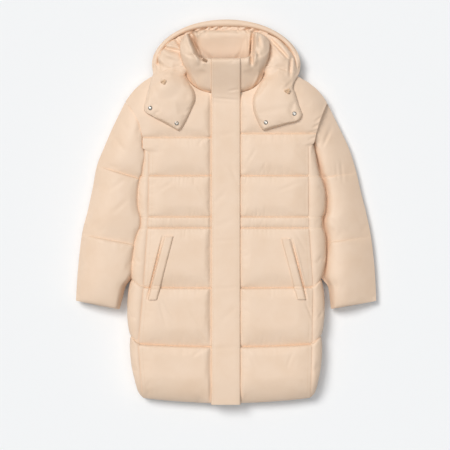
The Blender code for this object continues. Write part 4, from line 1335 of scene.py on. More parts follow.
def sleeve_line(side, share):
    """The quilt seam of a sleeve, as its two ends."""
    return sleeve_point(side, share, 0.0), sleeve_point(side, share, 1.0)


def pucker_sleeve(side, sizes):
    """The gathers and creases of a sleeve, on its upper half and its edges."""
    depth, spacing = sizes.pucker_depth / MM, sizes.pucker_spacing / MM

    def change(points):
        height = points[:, 2].copy()
        upper = smooth(FOLD_HEIGHT - 6.0, FOLD_HEIGHT + 18.0, height)
        moved = points.copy()
        for number, share in enumerate(SLEEVE_SEAMS):
            (ax, ay), (bx, by) = sleeve_line(side, share)
            run = np.array([bx - ax, by - ay])
            length = np.hypot(*run)
            along = ((points[:, 0] - ax) * run[0] + (points[:, 1] - ay) * run[1]) / length
            aside = side * ((points[:, 1] - ay) * run[0] - (points[:, 0] - ax) * run[1]) / length
            puckers(moved, along, aside, length, 131 + number + 40 * side, spacing, depth, 40.0)
        crease_all(moved, SLEEVE_CREASES[side])
        points[:, 2] = height + (moved[:, 2] - height) * upper
        points[:, 2] = np.maximum(points[:, 2], LEAST_HEIGHT)
        return points

    return change


# Rings that turn the cuff's edge in: shares of the last ring's width and height, and the step up the sleeve.
# The way up is taken from the cuff's line to a line across the sleeve at this share
UP_SHARE = 0.86
CUFF_RINGS = ((0.985, 0.9, -1.5), (0.95, 0.72, 1.5), (0.97, 0.62, 9.0), (1.0, 0.9, 60.0))


def open_cuff(cloth, side):
    """Turn the cuff's edge in, run its inside up the sleeve, and close the sleeve's armhole end."""
    bm = opened(cloth)
    along = bm.verts.layers.float["along"]

    def middle_of(share):
        (ax, ay), (bx, by) = sleeve_line(side, share)
        return Vector(((ax + bx) / 2, (ay + by) / 2, FOLD_HEIGHT)) * MM

    middle = middle_of(1.0)
    up = (middle_of(UP_SHARE) - middle).normalized()
    rim = [edge for edge in bm.edges if edge.is_boundary and all(vert[along] > 0.999 for vert in edge.verts)]
    for flat, thin, depth in CUFF_RINGS:
        made = bmesh.ops.extrude_edge_only(bm, edges=rim)["geom"]
        rim = [item for item in made if isinstance(item, bmesh.types.BMEdge) and item.is_boundary]
        for vert in [item for item in made if isinstance(item, bmesh.types.BMVert)]:
            out = vert.co - middle
            lengthwise = up * out.dot(up)
            out -= lengthwise
            shrunk = Vector((out.x * flat, out.y * flat, out.z * thin))
            vert.co = middle + shrunk + lengthwise + up * depth * MM
    fill_open(bm)
    put_back(bm, cloth)


def build_sleeves(sizes):
    """Both sleeves."""
    pads = {side: make_sleeve(side) for side in (-1, 1)}
    swell(list(pads.values()), sizes.down_pressure)
    for side, (cloth, _) in pads.items():
        finer(cloth)
        press(cloth, pucker_sleeve(side, sizes))
        open_cuff(cloth, side)
        name = "sleeve_" + wearer(side)
        finish_piece(cloth, "shell", "shell", name + "_top", name + "_under", fill=0.6)


# ---- collar


# Columns round the neck, and rows over the section: its stops are the rings up the outer face, the rim in the
# middle and the rings down the inner face
COLLAR_AROUND = 132
COLLAR_STOPS = [0.0, 2.0, 4.0, 5.0, 6.0, 8.0, 10.0]
COLLAR_STEP = 0.25
COLLAR_GAP = 0.3
RIM_SLANT = 0.35

# Creases leave the collar's underside alone: heights between which they take hold
CREASE_FROM = 30.0
CREASE_FULL = 75.0


def collar_point(ring, angle, depth):
    """A point of the collar. depth is +0.5 on the outer face, -0.5 on the inner face."""
    cos, sin = math.cos(angle), math.sin(angle)
    roundness = ring.roundness
    if depth < 0.0:
        roundness += OPENING_SQUARENESS * ring.roll / COLLAR[-1].roll
    across = math.copysign(abs(cos) ** (2.0 / roundness), cos)
    along = math.copysign(abs(sin) ** (2.0 / roundness), sin)
    middle = (ring.front_height + ring.back_height) / 2.0
    half_width = ring.half_width + depth * ring.wall - (ring.roll if depth < 0.0 else 0.0)
    x = NECK_SHIFT + half_width * across
    if along > 0.0:
        y = ring.level - (ring.front + COLLAR_LEAN * depth * ring.wall) * along
        z = middle + (ring.front_height - middle + depth * ring.wall) * along
    else:
        y = ring.level - ring.back * along
        z = middle + (middle - ring.back_height + depth * ring.wall) * along
    if depth == 0.0:
        z += ROLL_CREST * abs(cos) ** 1.5
    if depth <= 0.0 and cos < 0.0:
        share = RIM_SLANT if depth == 0.0 else ring.roll / COLLAR[-1].roll
        x -= SLANT * max(y - SLANT_LEVEL, 0.0) * abs(across) * share
    return x, y, z


def collar_section(angle):
    """The collar's section at an angle: up the outer face, over the rim and down the inner face."""
    outer = [collar_point(ring, angle, 0.5) for ring in COLLAR]
    inner = [collar_point(ring, angle, -0.5) for ring in reversed(COLLAR)]
    return outer + [collar_point(COLLAR_RIM, angle, 0.0)] + inner


def collar_place(across, along):
    """Where a point of the collar lies. across goes round the neck, along over its section."""
    angle = math.pi / 2 + across * 2.0 * math.pi
    x, y, z = through(collar_section(angle), along)
    if across < SAME:
        x = -FRONT_EDGE - COLLAR_GAP
    elif across > 1.0 - SAME:
        x = FRONT_EDGE + COLLAR_GAP
    return x, y, z


COLLAR_CREASES = table(
    Crease, (-134, 470, -98, 400, 5, 1.6), (-122, 430, -96, 366, 4, 2.6), (-112, 420, -84, 362, 3, 2.4),
    (116, 436, 84, 366, 4, 5.0), (108, 408, 74, 360, 3, 4.5), (98, 384, 70, 352, 3, 3.0),
    (-84, 372, -24, 350, 5, 1.4), (-104, 425, -70, 440, 7, 1.2), (70, 420, 100, 446, 8, 1.2),
    (-96, 474, -52, 444, 5, 6.0), (-122, 570, -68, 440, 8, 30.0), (-100, 536, -56, 448, 12, 6.0),
    (-108, 522, -80, 478, 4, 8.0), (-84, 470, -58, 446, 5, 12.0), (-112, 506, -88, 486, 4, 3.0),
    (-126, 520, -112, 470, 6, 1.6), (81, 562, 75, 432, 6, 24.0), (96, 532, 102, 488, 5, 5.0),
    (88, 490, 98, 460, 4, 3.4), (120, 500, 104, 540, 6, 1.6), (-92, 530, -70, 554, 4, 6.0),
    (-66, 532, -46, 554, 4, 5.6), (-40, 536, -24, 554, 4, 5.0), (-10, 538, 0, 554, 4, 4.4),
    (34, 536, 26, 554, 4, 4.6), (74, 530, 50, 554, 4, 5.8), (92, 528, 76, 552, 4, 5.4),
    (-30, 520, 40, 524, 16, 0.8),
)


def make_collar():
    """The collar's cloth and the points where it is held."""
    columns = [i / COLLAR_AROUND for i in range(COLLAR_AROUND + 1)]
    cloth = cloth_grid("collar_cloth", columns, spaced(COLLAR_STOPS, COLLAR_STEP), collar_place)
    across, along = attribute(cloth.data, "across"), attribute(cloth.data, "along")
    rim = COLLAR_STOPS[len(COLLAR_STOPS) // 2]
    held = near(along, [0.0, rim, COLLAR_STOPS[-1]]) | near(across, [0.0, 1.0])
    return cloth, held


def fold_collar(points):
    """Press the collar's creases into its upper faces."""
    height = points[:, 2].copy()
    crease_all(points, COLLAR_CREASES)
    upper = smooth(CREASE_FROM, CREASE_FULL, height)
    points[:, 2] = np.maximum(height + (points[:, 2] - height) * upper, np.minimum(height, LEAST_HEIGHT))
    return points


def build_collar(sizes):
    """The stand collar."""
    cloth, held = make_collar()
    swell([(cloth, held)], sizes.down_pressure * 0.5, slack=0.02, most=5.0)
    finer(cloth)
    press(cloth, fold_collar)
    bm = opened(cloth)
    along = bm.verts.layers.float["along"]
    seam = []
    for edge in [edge for edge in bm.edges if edge.is_boundary]:
        at = [vert[along] for vert in edge.verts]
        if max(at) < SAME or min(at) > COLLAR_STOPS[-1] - SAME:
            seam.append(edge)
    bmesh.ops.bridge_loops(bm, edges=seam)
    fill_open(bm)
    put_back(bm, cloth)
    finish_piece(cloth, "shell", "shell", "collar", fill=0.7)


# ---- hood


def hood_rim(angle):
    """A point of the hood's outline, an oval round the neck."""
    return HOOD_HALF_WIDTH * math.cos(angle), NECK_LEVEL + HOOD_REACH * math.sin(angle)


def support(x, y):
    """Height at a point of what a hood panel lies on: the table, the slope over the shoulder, or a front."""
    side = -1 if x < 0 else 1
    outline = OUTLINES[side][TIP:]
    half = abs(x)
    if y <= outline[-1][1] and half <= upper_x(side, max(y, outline[0][1])):
        return front_top(x, y)
    return max(0.0, SHOULDER_HEIGHT * (1.0 - distance_to_line(half, y, outline) / HOOD_SLOPE))


def fan_level(angle):
    """Level on the centre line that a hood seam at an angle from +Y points to."""
    beyond = max(math.degrees(angle) - CROWN_HALF_ANGLE, 0.0)
    return NECK_LEVEL - FAN_DROP * max(1.0 - beyond / FAN_RANGE, 0.0)


def on_collar(x, y):
    """Whether a plan position lies under or over the collar."""
    for ring in COLLAR:
        across = abs(x - NECK_SHIFT) / (ring.half_width + ring.wall / 2)
        reach = ring.front + COLLAR_LEAN * ring.wall / 2 if y < ring.level else ring.back
        if across**ring.roundness + (abs(y - ring.level) / reach) ** ring.roundness < 1.0:
            return True
    return False


def leaves_collar(inner, outer):
    """Share of the way between two plan positions at which the line leaves the collar."""
    share = 0.0
    while on_collar(inner[0] + share * (outer[0] - inner[0]), inner[1] + share * (outer[1] - inner[1])):
        share += 0.01
    return share - 0.04


def hood_lines(side):
    """Inner and outer ends of lines across a hood side panel, from its crown seam to the end of its flap."""
    lines = []
    for step in range(HOOD_SECTIONS + 1):
        angle = math.radians(CROWN_HALF_ANGLE + step * (SIDE_END_ANGLE - CROWN_HALF_ANGLE) / HOOD_SECTIONS)
        rim_x, rim_y = hood_rim(math.pi / 2 - angle)
        fan = (0.0, fan_level(angle))
        share = leaves_collar(fan, (rim_x, rim_y))
        lines.append((share * rim_x, fan[1] + share * (rim_y - fan[1]), rim_x, rim_y))
    return lines + [tuple(row) for row in FLAPS[side][1:]]


HOOD_FOLDS = table(
    Crease, (-206, 498, -132, 476, 7, 9.0), (-196, 520, -176, 484, 4, 6.0), (-216, 488, -204, 440, 4, 6.0),
    (-212, 456, -186, 430, 5, 5.0), (204, 486, 214, 440, 4, 5.0), (178, 512, 206, 486, 4, 6.0),
    (-190, 474, -140, 456, 7, -3.5), (-160, 530, -124, 486, 6, 6.0), (-214, 470, -196, 420, 5, 5.0),
    (-150, 440, -112, 392, 7, 2.0), (-196, 408, -182, 380, 4, 2.2), (-212, 396, -160, 402, 5, 1.8),
    (128, 524, 196, 446, 5, 8.0), (150, 536, 206, 470, 5, 8.0), (196, 474, 190, 400, 5, 6.0),
    (142, 500, 176, 452, 9, -2.0), (206, 396, 170, 366, 5, 2.6), (190, 386, 160, 380, 4, 1.6),
    (-206, 330, -170, 290, 8, 0.8), (120, 300, 190, 310, 9, 0.8),
)
CROWN_FOLDS = table(
    Crease, (-108, 534, -84, 566, 5, 8.0), (-80, 538, -50, 566, 5, 9.0), (-52, 546, -28, 568, 4, 7.0),
    (-34, 540, -6, 566, 4, 7.0), (0, 546, 24, 568, 3, 4.0), (42, 542, 34, 566, 3, 4.0),
    (84, 566, 50, 538, 5, 9.0), (108, 558, 80, 538, 5, 7.0),
)


def hood_side_place(side, lines):
    """Where a point of a hood side panel lies. across is a share of the way out, along counts the lines."""

    def place(across, along):
        inner_x, inner_y, outer_x, outer_y = through(lines, along)
        run = math.hypot(outer_x - inner_x, outer_y - inner_y)
        x = side * (inner_x + across * (outer_x - inner_x))
        y = inner_y + across * (outer_y - inner_y)
        low = support(x, y)
        flap = float(smooth(HOOD_SECTIONS - FLAP_BLEND, HOOD_SECTIONS + FLAP_BLEND, along))
        body = run - BRIM_WIDTH * (1.0 - flap)
        distance = across * run
        edge = max(min(distance, body - distance), 0.0)
        hood = HOOD_LEDGE + HOOD_LOFT * rounding(edge, HOOD_ROUNDING * body) * min(body / NARROW_HOOD, 1.0)
        hood += HOOD_RISE * float(smooth(1.0, HOOD_SECTIONS, along))
        hood = max(hood, low + HOOD_CLOTH + HOOD_LEAST)
        end = (len(lines) - 1 - along) * FLAP_END
        flap_top = low + HOOD_CLOTH + FLAP_LOFT * rounding(min(distance, run - distance, end), FLAP_ROUNDING)
        return x, y, hood + flap * (flap_top - hood)

    return place


def make_hood_side(side):
    """A hood side panel with its throat flap, and the points where it is held."""
    lines = hood_lines(side)
    rows = list(np.linspace(0.0, HOOD_SECTIONS, 37))
    for number in range(HOOD_SECTIONS, len(lines) - 1):
        a, b = lines[number], lines[number + 1]
        apart = max(math.hypot(a[0] - b[0], a[1] - b[1]), math.hypot(a[2] - b[2], a[3] - b[3]))
        count = max(2, round(apart / STEP))
        rows += [number + (i + 1) / count for i in range(count)]
    cloth = cloth_grid("hood_cloth_" + wearer(side), shares(33), rows, hood_side_place(side, lines))
    across, along = attribute(cloth.data, "across"), attribute(cloth.data, "along")
    held = near(across, [0.0, 1.0]) | near(along, [0.0, len(lines) - 1.0])
    return cloth, held


def hood_crown_place(across, along):
    """Where a point of the hood's crown lies. across runs between its seams, along from the collar out."""
    angle = math.radians(CROWN_HALF_ANGLE * (2.0 * across - 1.0))
    rim_x, rim_y = hood_rim(math.pi / 2 - angle)
    fan = NECK_LEVEL - FAN_DROP
    start = (CROWN_START + FAN_DROP) / (rim_y - fan)
    share = start + along * (1.0 - start)
    x, y = share * rim_x, fan + share * (rim_y - fan)
    return x, y, CROWN_LOW + CROWN_RISE * float(smooth(0.55, 0.75, along))


def brim_place(across, along):
    """Where a point of the brim lies. across goes round the roll, along from end to end of the edge."""
    angle = math.radians(-BRIM_END + along * (180.0 + 2.0 * BRIM_END))
    x, y = hood_rim(angle)
    length = math.hypot(x, y - NECK_LEVEL)
    out_x, out_y = x / length, (y - NECK_LEVEL) / length
    width = BRIM_WIDTH + BRIM_EXTRA * max(math.sin(angle), 0.0) ** BRIM_EXTRA_POWER
    low = max(support(x - out_x * part * width, y - out_y * part * width) for part in (0.0, 0.5, 1.0, 1.3))
    base = max(HOOD_LEDGE, low + BRIM_OVER)
    taper = min(1.0, 0.35 + min(along, 1.0 - along) * 14.0)
    turn = across * 2.0 * math.pi
    reach = taper * (width / 2.0 - 0.5) * math.cos(turn) - width / 2.0
    height = base + BRIM_HEIGHT * (1.0 + taper * math.sin(turn)) / 2.0
    return x + out_x * reach, y + out_y * reach, height


def meet_fitting(points, seat):
    """Bring the cloth round a stud or an eyelet to the height of its base, where it is clamped on."""
    apart = np.hypot(points[:, 0] - seat.x, points[:, 1] - seat.y)
    nearest = int(np.argmin(apart))
    if apart[nearest] < FITTING_RADIUS:
        lift = seat.base + FITTING_BITE - points[nearest, 2]
        points[:, 2] += lift * (1.0 - smooth(FITTING_RADIUS, FITTING_REACH, apart))


def fold_hood_side(points):
    """Fold a hood side panel, then bring its flap to the studs and the eyelet."""
    crease_all(points, HOOD_FOLDS)
    for seat in CAPS + SOCKETS + EYELETS:
        meet_fitting(points, seat)
    return points


def build_hood(sizes):
    """The hood: two side panels with their throat flaps, the crown between them, and the brim round it."""
    pads = {side: make_hood_side(side) for side in (-1, 1)}
    swell(list(pads.values()), sizes.down_pressure * 0.5, slack=0.02, most=6.0)
    for side, (cloth, _) in pads.items():
        finer(cloth)
        press(cloth, fold_hood_side)
        thicken(cloth, 5.0)
        finish_piece(cloth, "shell", "shell", "hood_side_" + wearer(side), fill=0.5)
    crown = cloth_grid("hood_cloth_crown", shares(61), shares(25), hood_crown_place)
    finer(crown)
    press(crown, lambda points: crease_all(points, CROWN_FOLDS))
    thicken(crown, 15.0)
    finish_piece(crown, "shell", "shell", "hood_crown", fill=0.4)
    brim = cloth_grid("hood_roll", shares(17), shares(181), brim_place, closed=True)
    close_tube(brim)
    finish_piece(brim, "trim", "trim", "hood_brim", fill=0.5)


# ---- placket and welts


# The placket's height, lower at the hem and the rim; its thickness, how far its seam side sinks in, and the
# grooves under its two rows of topstitching
PLACKET_HEIGHT = 77.0
PLACKET_WIDTH = PLACKET_RIGHT + PLACKET_LEFT
PLACKET_LENGTH = 1050.0
PLACKET_LEVELS = [HEM_LEVEL, *(100.0 * step for step in range(-5, 4)), 335.0]
HEM_DIP = 9.0
OVER_COLLAR = 2.0
RIM_REACH = 5.0
RIM_DIP = 7.0
PLACKET_CLOTH = 5.0
PLACKET_SINK = 7.0
PLACKET_TOPSTITCH = 7.5
GROOVE_DEPTH = 1.3
GROOVE_REACH = 1.8
PLACKET_CREASES = table(
    Crease, (8, 141, 38, 82, 6, 1.0), (-8, 128, 26, 104, 6, -0.7), (4, 360, 40, 366, 4, 1.2),
    (-44, 340, 46, 333, 4, 0.8), (-46, -88, 44, -84, 5, 0.6), (-46, -232, 44, -226, 5, 0.7),
    (-40, -50, 30, -20, 9, 0.6), (-30, 226, 30, 236, 6, 0.7), (-46, -410, 44, -404, 6, 0.6),
    (-20, -330, 36, -280, 8, 0.6), (-42, 20, 0, 60, 8, 0.6), (10, 440, 26, 448, 4, 0.8),
)


def placket_place(across, along):
    """Where a point of the placket lies. across runs from seam to free edge, along from hem to rim."""
    path = [(level, PLACKET_HEIGHT) for level in PLACKET_LEVELS]
    path[0] = (HEM_LEVEL, PLACKET_HEIGHT - HEM_DIP)
    for ring in COLLAR[1:]:
        _, level, height = collar_point(ring, math.pi / 2, 0.5)
        path.append((level, height + OVER_COLLAR))
    path.append((path[-1][0] + RIM_REACH, path[-1][1] - RIM_DIP))
    y, z = through(path, along)
    from_seam, from_free = across * PLACKET_WIDTH, (1.0 - across) * PLACKET_WIDTH
    thinner = PLACKET_CLOTH * (1.0 - rounding(from_free, 4.0))
    z += PLACKET_CLOTH - thinner - PLACKET_SINK * (1.0 - rounding(from_seam, 5.0))
    for distance in (from_seam, from_free):
        z -= GROOVE_DEPTH * math.exp(-(((distance - PLACKET_TOPSTITCH) / GROOVE_REACH) ** 2))
    return -PLACKET_RIGHT + across * PLACKET_WIDTH, y, z


def fold_placket(points):
    """Press the placket's creases, and gather it along its two rows of topstitching."""
    crease_all(points, PLACKET_CREASES)
    x, y = points[:, 0].copy(), points[:, 1].copy()
    for seed, offset in (
        (61, x + (PLACKET_RIGHT - PLACKET_TOPSTITCH)),
        (62, PLACKET_LEFT - PLACKET_TOPSTITCH - x),
    ):
        puckers(points, y - LOW_END, offset, PLACKET_LENGTH, seed, 17.0, 0.5, 16.0)
    return points


def build_placket():
    """The storm placket over the zip."""
    columns = spaced([0.0, 0.03, 0.065, 0.105, 0.14, 0.86, 0.895, 0.935, 0.97, 1.0], 0.06)
    rows = list(np.linspace(0.0, len(PLACKET_LEVELS) + len(COLLAR) - 1.0, 150))
    cloth = cloth_grid("placket_cloth", columns, rows, placket_place)
    finer(cloth)
    press(cloth, fold_placket)
    thicken(cloth, PLACKET_CLOTH)
    finish_piece(cloth, "trim", "trim", "placket", fill=0.2)


# How high a welt lies over its front and at least, how thick it is, and how far its sewn-in side sinks
WELT_LEAST = 73.0
WELT_OVER = 3.0
WELT_CLOTH = 3.5
WELT_SINK = 6.0


def welt_place(side):
    """Where a point of a pocket welt lies. across runs from its inner edge out, along from its top down."""
    ends = WELTS[side]

    def place(across, along):
        centre = ends.top_x + along * (ends.bottom_x - ends.top_x)
        y = ends.top_y + along * (ends.bottom_y - ends.top_y)
        x = side * (centre + (across - 0.5) * ends.width)
        edge = rounding(min(across, 1.0 - across) * ends.width, 6.0)
        sunk = WELT_SINK * (1.0 - rounding((1.0 - across) * ends.width, 9.0))
        return x, y, max(front_top(x, y), WELT_LEAST) + WELT_OVER + WELT_CLOTH * edge - sunk

    return place


def build_welts():
    """The pocket welts."""
    for side in (-1, 1):
        cloth = cloth_grid("welt_cloth_" + wearer(side), shares(11), shares(41), welt_place(side))
        finer(cloth)
        thicken(cloth, WELT_CLOTH)
        finish_piece(cloth, "trim", "trim", "welt_" + wearer(side), fill=0.2)


# ---- metal, zip and cord


# Half profiles as radius and height, from the middle to the rim and back under it
CAP_PROFILE = (
    (0, 3.5), (2.4, 3.4), (4.4, 2.9), (5.3, 2.2), (5.7, 1.5), (6.3, 1.3), (6.4, 0.6), (6.2, 0.1), (0, 0.1),
)
SOCKET_PROFILE = (
    (0, 0.5), (2.1, 0.5), (2.3, 0.9), (2.5, 2.2), (2.9, 2.7), (3.6, 2.8), (4.3, 2.6), (4.9, 1.9), (5.4, 1.5),
    (6.2, 1.3), (6.4, 0.7), (6.2, 0.1), (0, 0.1),
)
EYELET_PROFILE = (
    (0, 0.4), (2.7, 0.4), (2.9, 1.2), (3.3, 1.9), (3.9, 2.1), (4.8, 1.9), (5.6, 1.3), (6.0, 0.7), (5.8, 0.1),
    (0, 0.1),
)
AROUND = 40


def turned(bm, profile, seat):
    """Spin a profile round an upright line through a seat."""
    points = []
    for radius, height in profile:
        points.append(bm.verts.new(Vector((seat.x + radius, seat.y, seat.base + height)) * MM))
    edges = [bm.edges.new(pair) for pair in zip(points, points[1:])]
    middle = Vector((seat.x, seat.y, seat.base)) * MM
    bmesh.ops.spin(bm, geom=points + edges, cent=middle, axis=(0, 0, 1), angle=2 * math.pi, steps=AROUND,
                   use_merge=True)


def metal_piece(name, profile, seats):
    """Every fitting of one kind as one mesh."""
    bm = bmesh.new()
    for seat in seats:
        turned(bm, profile, seat)
    bmesh.ops.remove_doubles(bm, verts=bm.verts, dist=0.01 * MM)
    bmesh.ops.recalc_face_normals(bm, faces=bm.faces)
    finish_piece(new_object(name, bm), "nickel", "stud_metal", *[seat.node for seat in seats])


# The cord's radius, the size of a knot's loops, how far its strands rise over each other, how much it is
# flattened in Y and sunk into its eyelet, and how far each knot is turned
KNOT_STRAND = 2.3
KNOT_TURN = 2.5
KNOT_RISE = 1.9
KNOT_FLATTENED = 0.8
KNOT_SINK = 1.2
KNOT_TURNED = (0.5, 2.6)


def knot_place(seat, turned_by):
    """Where a point of a stopper knot lies. across goes round its cord, along runs once through the knot."""

    def centre(angle):
        x = KNOT_TURN * (math.sin(angle) + 2.0 * math.sin(2.0 * angle))
        y = KNOT_TURN * (math.cos(angle) - 2.0 * math.cos(2.0 * angle))
        cos, sin = math.cos(turned_by), math.sin(turned_by)
        rise = KNOT_STRAND + KNOT_RISE * (1.0 + math.sin(3.0 * angle))
        knot_x = seat.x + cos * x - sin * y
        knot_y = seat.y + KNOT_FLATTENED * (sin * x + cos * y)
        return Vector((knot_x, knot_y, seat.base - KNOT_SINK + rise))

    def place(across, along):
        angle, turn = along * 2.0 * math.pi, across * 2.0 * math.pi
        run = (centre(angle + 0.01) - centre(angle - 0.01)).normalized()
        aside = run.cross(Vector((0.0, 0.0, 1.0))).normalized()
        spoke = aside * math.cos(turn) + run.cross(aside) * math.sin(turn)
        return tuple(centre(angle) + spoke * KNOT_STRAND)

    return place


def build_knots():
    """A stopper knot of cord on each eyelet: one strand over and under itself."""
    for seat, turned_by in zip(KNOTS, KNOT_TURNED):
        place = knot_place(seat, turned_by)
        made = cloth_grid(seat.node + "_strand", shares(17), shares(97), place, closed=True)
        finish_piece(made, "cord", "cord", seat.node)


def build_metal():
    """Studs, eyelets and knots are turned afresh; the zip keeps its solids and gets its finish."""
    metal_piece("stud_caps", CAP_PROFILE, CAPS)
    metal_piece("stud_sockets", SOCKET_PROFILE, SOCKETS)
    metal_piece("eyelet_rings", EYELET_PROFILE, EYELETS)
    build_knots()
    for name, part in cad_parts.items():
        if name.startswith("zip_"):
            part.data.materials.clear()
            part.data.materials.append(MATERIALS["nickel" if name in ("zip_slider", "zip_pull") else "coil"])


# ---- stitches


# Length, spacing and width of a stitch, the steepest rise that one spans, and a height above all the cloth
STITCH = 3.2
STITCH_GAP = 1.6
STITCH_WIDTH = 0.9
STEEPEST = 0.7
ABOVE = 400.0
TOPSTITCH_INSIDE = 2.2
TOPSTITCH_APART = 8.0


def on_cloth(trees, x, y):
    """The highest point of some cloths at a plan position, or None beside them."""
    best = None
    for tree in trees:
        hit = tree.ray_cast(Vector((x, y, ABOVE)) * MM, Vector((0, 0, -1)))[0]
        if hit is not None and (best is None or hit.z > best.z):
            best = hit
    return best


def sew(bm, trees, path):
    """Lay stitches along a path of plan positions, each one from cloth to cloth."""
    carry = 0.0
    for (ax, ay), (bx, by) in zip(path, path[1:]):
        length = math.hypot(bx - ax, by - ay)
        if length < 0.01:
            continue
        step = STITCH + STITCH_GAP
        while carry + STITCH <= length:
            ends = []
            for at in (carry, carry + STITCH):
                share = at / length
                ends.append(on_cloth(trees, ax + share * (bx - ax), ay + share * (by - ay)))
            carry += step
            if None in ends or abs(ends[0].z - ends[1].z) > STEEPEST * STITCH * MM:
                continue
            run = ends[1] - ends[0]
            turn = run.to_track_quat("X", "Z").to_matrix().to_4x4()
            size = Matrix.Diagonal((run.length / 2, STITCH_WIDTH * MM / 2, STITCH_WIDTH * MM / 2.6, 1.0))
            place = Matrix.Translation((ends[0] + ends[1]) / 2) @ turn @ size
            bmesh.ops.create_icosphere(bm, subdivisions=1, radius=1.0, matrix=place)
        carry -= length
    return bm


def tree_of(*names):
    """Search trees of finished cloths."""
    depsgraph = bpy.context.evaluated_depsgraph_get()
    return [BVHTree.FromObject(bpy.data.objects[name], depsgraph) for name in names]


def quilt_paths(side):
    """Plan paths of a front's quilt seams, and of its side panel's."""
    paths = []
    for seam in SEAMS[1:]:
        across = np.linspace(PLACKET_SEAM + 2.0, panel_x(side, seam.level) - 1.0, 40)
        paths.append([(side * x, body_level(seam.level, x)) for x in across])
        inner, fold = panel_x(side, seam.level) + 1.0, side_x(side, seam.level)
        rows = np.linspace(inner, fold - 3.0, 14)
        base = body_level(seam.level, inner)
        paths.append([(side * x, base + side_lift(side, seam.level, x)) for x in rows])
    chest = CHEST_LEVEL[side]
    paths.append([(side * x, chest) for x in (PLACKET_SEAM + 2.0, upper_x(side, chest) - 2.0)])
    return paths


def long_paths(side):
    """Plan paths of the two rows of stitches inside a front's long side seam."""
    paths = []
    levels = np.linspace(HEM_LEVEL + 6.0, ARMHOLES[side].under_y - 4.0, 120)
    for inside in (TOPSTITCH_INSIDE, TOPSTITCH_INSIDE + TOPSTITCH_APART):
        line = [(panel_x(side, level) - inside, level) for level in levels]
        paths.append([(side * x, body_level(level, x)) for x, level in line])
    return paths


def welt_path(side, inset):
    """A plan path round a welt, inside its edge."""
    ends = WELTS[side]
    run_x, run_y = ends.bottom_x - ends.top_x, ends.bottom_y - ends.top_y
    length = math.hypot(run_x, run_y)
    path = []
    for aside, share in ((-1, 0), (-1, 1), (1, 1), (1, 0), (-1, 0)):
        along = inset / length if share == 0 else 1.0 - inset / length
        x = ends.top_x + along * run_x + aside * (ends.width / 2 - inset)
        path.append((side * x, ends.top_y + along * run_y))
    return path


def flap_path(side, inset):
    """A plan path round the free edge of a throat flap."""
    rows = FLAPS[side][1:]
    middle_x = sum(row.inner_x + row.outer_x for row in rows) / len(rows) / 2
    middle_y = sum(row.inner_y + row.outer_y for row in rows) / len(rows) / 2
    outline = [(row.inner_x, row.inner_y) for row in rows[1:]]
    outline += [(row.outer_x, row.outer_y) for row in rows[:0:-1]]
    path = []
    for x, y in outline:
        length = math.hypot(x - middle_x, y - middle_y)
        share = 1.0 - inset / length
        path.append((side * (middle_x + share * (x - middle_x)), middle_y + share * (y - middle_y)))
    return path


def build_stitches():
    """Every visible row of stitches."""
    bm = bmesh.new()
    for side in (-1, 1):
        trees = tree_of("front_cloth_" + wearer(side), "side_cloth_" + wearer(side))
        for path in quilt_paths(side) + long_paths(side):
            sew(bm, trees, path)
    finish_piece(new_object("body_stitches", bm), "thread", "shell")

    bm = bmesh.new()
    trees = tree_of("placket_cloth")
    for x in (-PLACKET_RIGHT + PLACKET_TOPSTITCH, -PLACKET_RIGHT + 1.6, PLACKET_LEFT - PLACKET_TOPSTITCH):
        sew(bm, trees, [(x, HEM_LEVEL + 2.0), (x, 455.0)])
    sew(bm, trees, [(-PLACKET_RIGHT + PLACKET_TOPSTITCH, 452.0), (PLACKET_LEFT - PLACKET_TOPSTITCH, 452.0)])
    for side in (-1, 1):
        trees = tree_of("welt_cloth_" + wearer(side))
        sew(bm, trees, welt_path(side, 3.0))
    finish_piece(new_object("trim_stitches", bm), "thread", "trim")

    bm = bmesh.new()
    for side in (-1, 1):
        trees = tree_of("sleeve_cloth_" + wearer(side))
        for share in INNER_SEAMS:
            sew(bm, trees, [sleeve_point(side, share, across) for across in np.linspace(0.06, 0.94, 24)])
        trees = tree_of("hood_cloth_" + wearer(side))
        sew(bm, trees, flap_path(side, 6.0))
    trees = tree_of("hood_roll", "hood_cloth_crown")
    angles = [math.radians(angle) for angle in range(4, 177, 2)]
    inside = 1.0 - 4.0 / HOOD_HALF_WIDTH
    sew(bm, trees, [(x * inside, NECK_LEVEL + (y - NECK_LEVEL) * inside) for x, y in map(hood_rim, angles)])
    finish_piece(new_object("sleeve_and_hood_stitches", bm), "thread", "shell")


# ---- stage


FLOOR_SIZE = 12.0
FLOOR_LEVEL = -0.0006
CAMERA_DISTANCE = 6.0
SENSOR = 36.0
VIEW_WIDTH = 1.35
VIEW_CENTRE = (-0.0036, -0.0399)
GARMENT_PLANE = 0.06


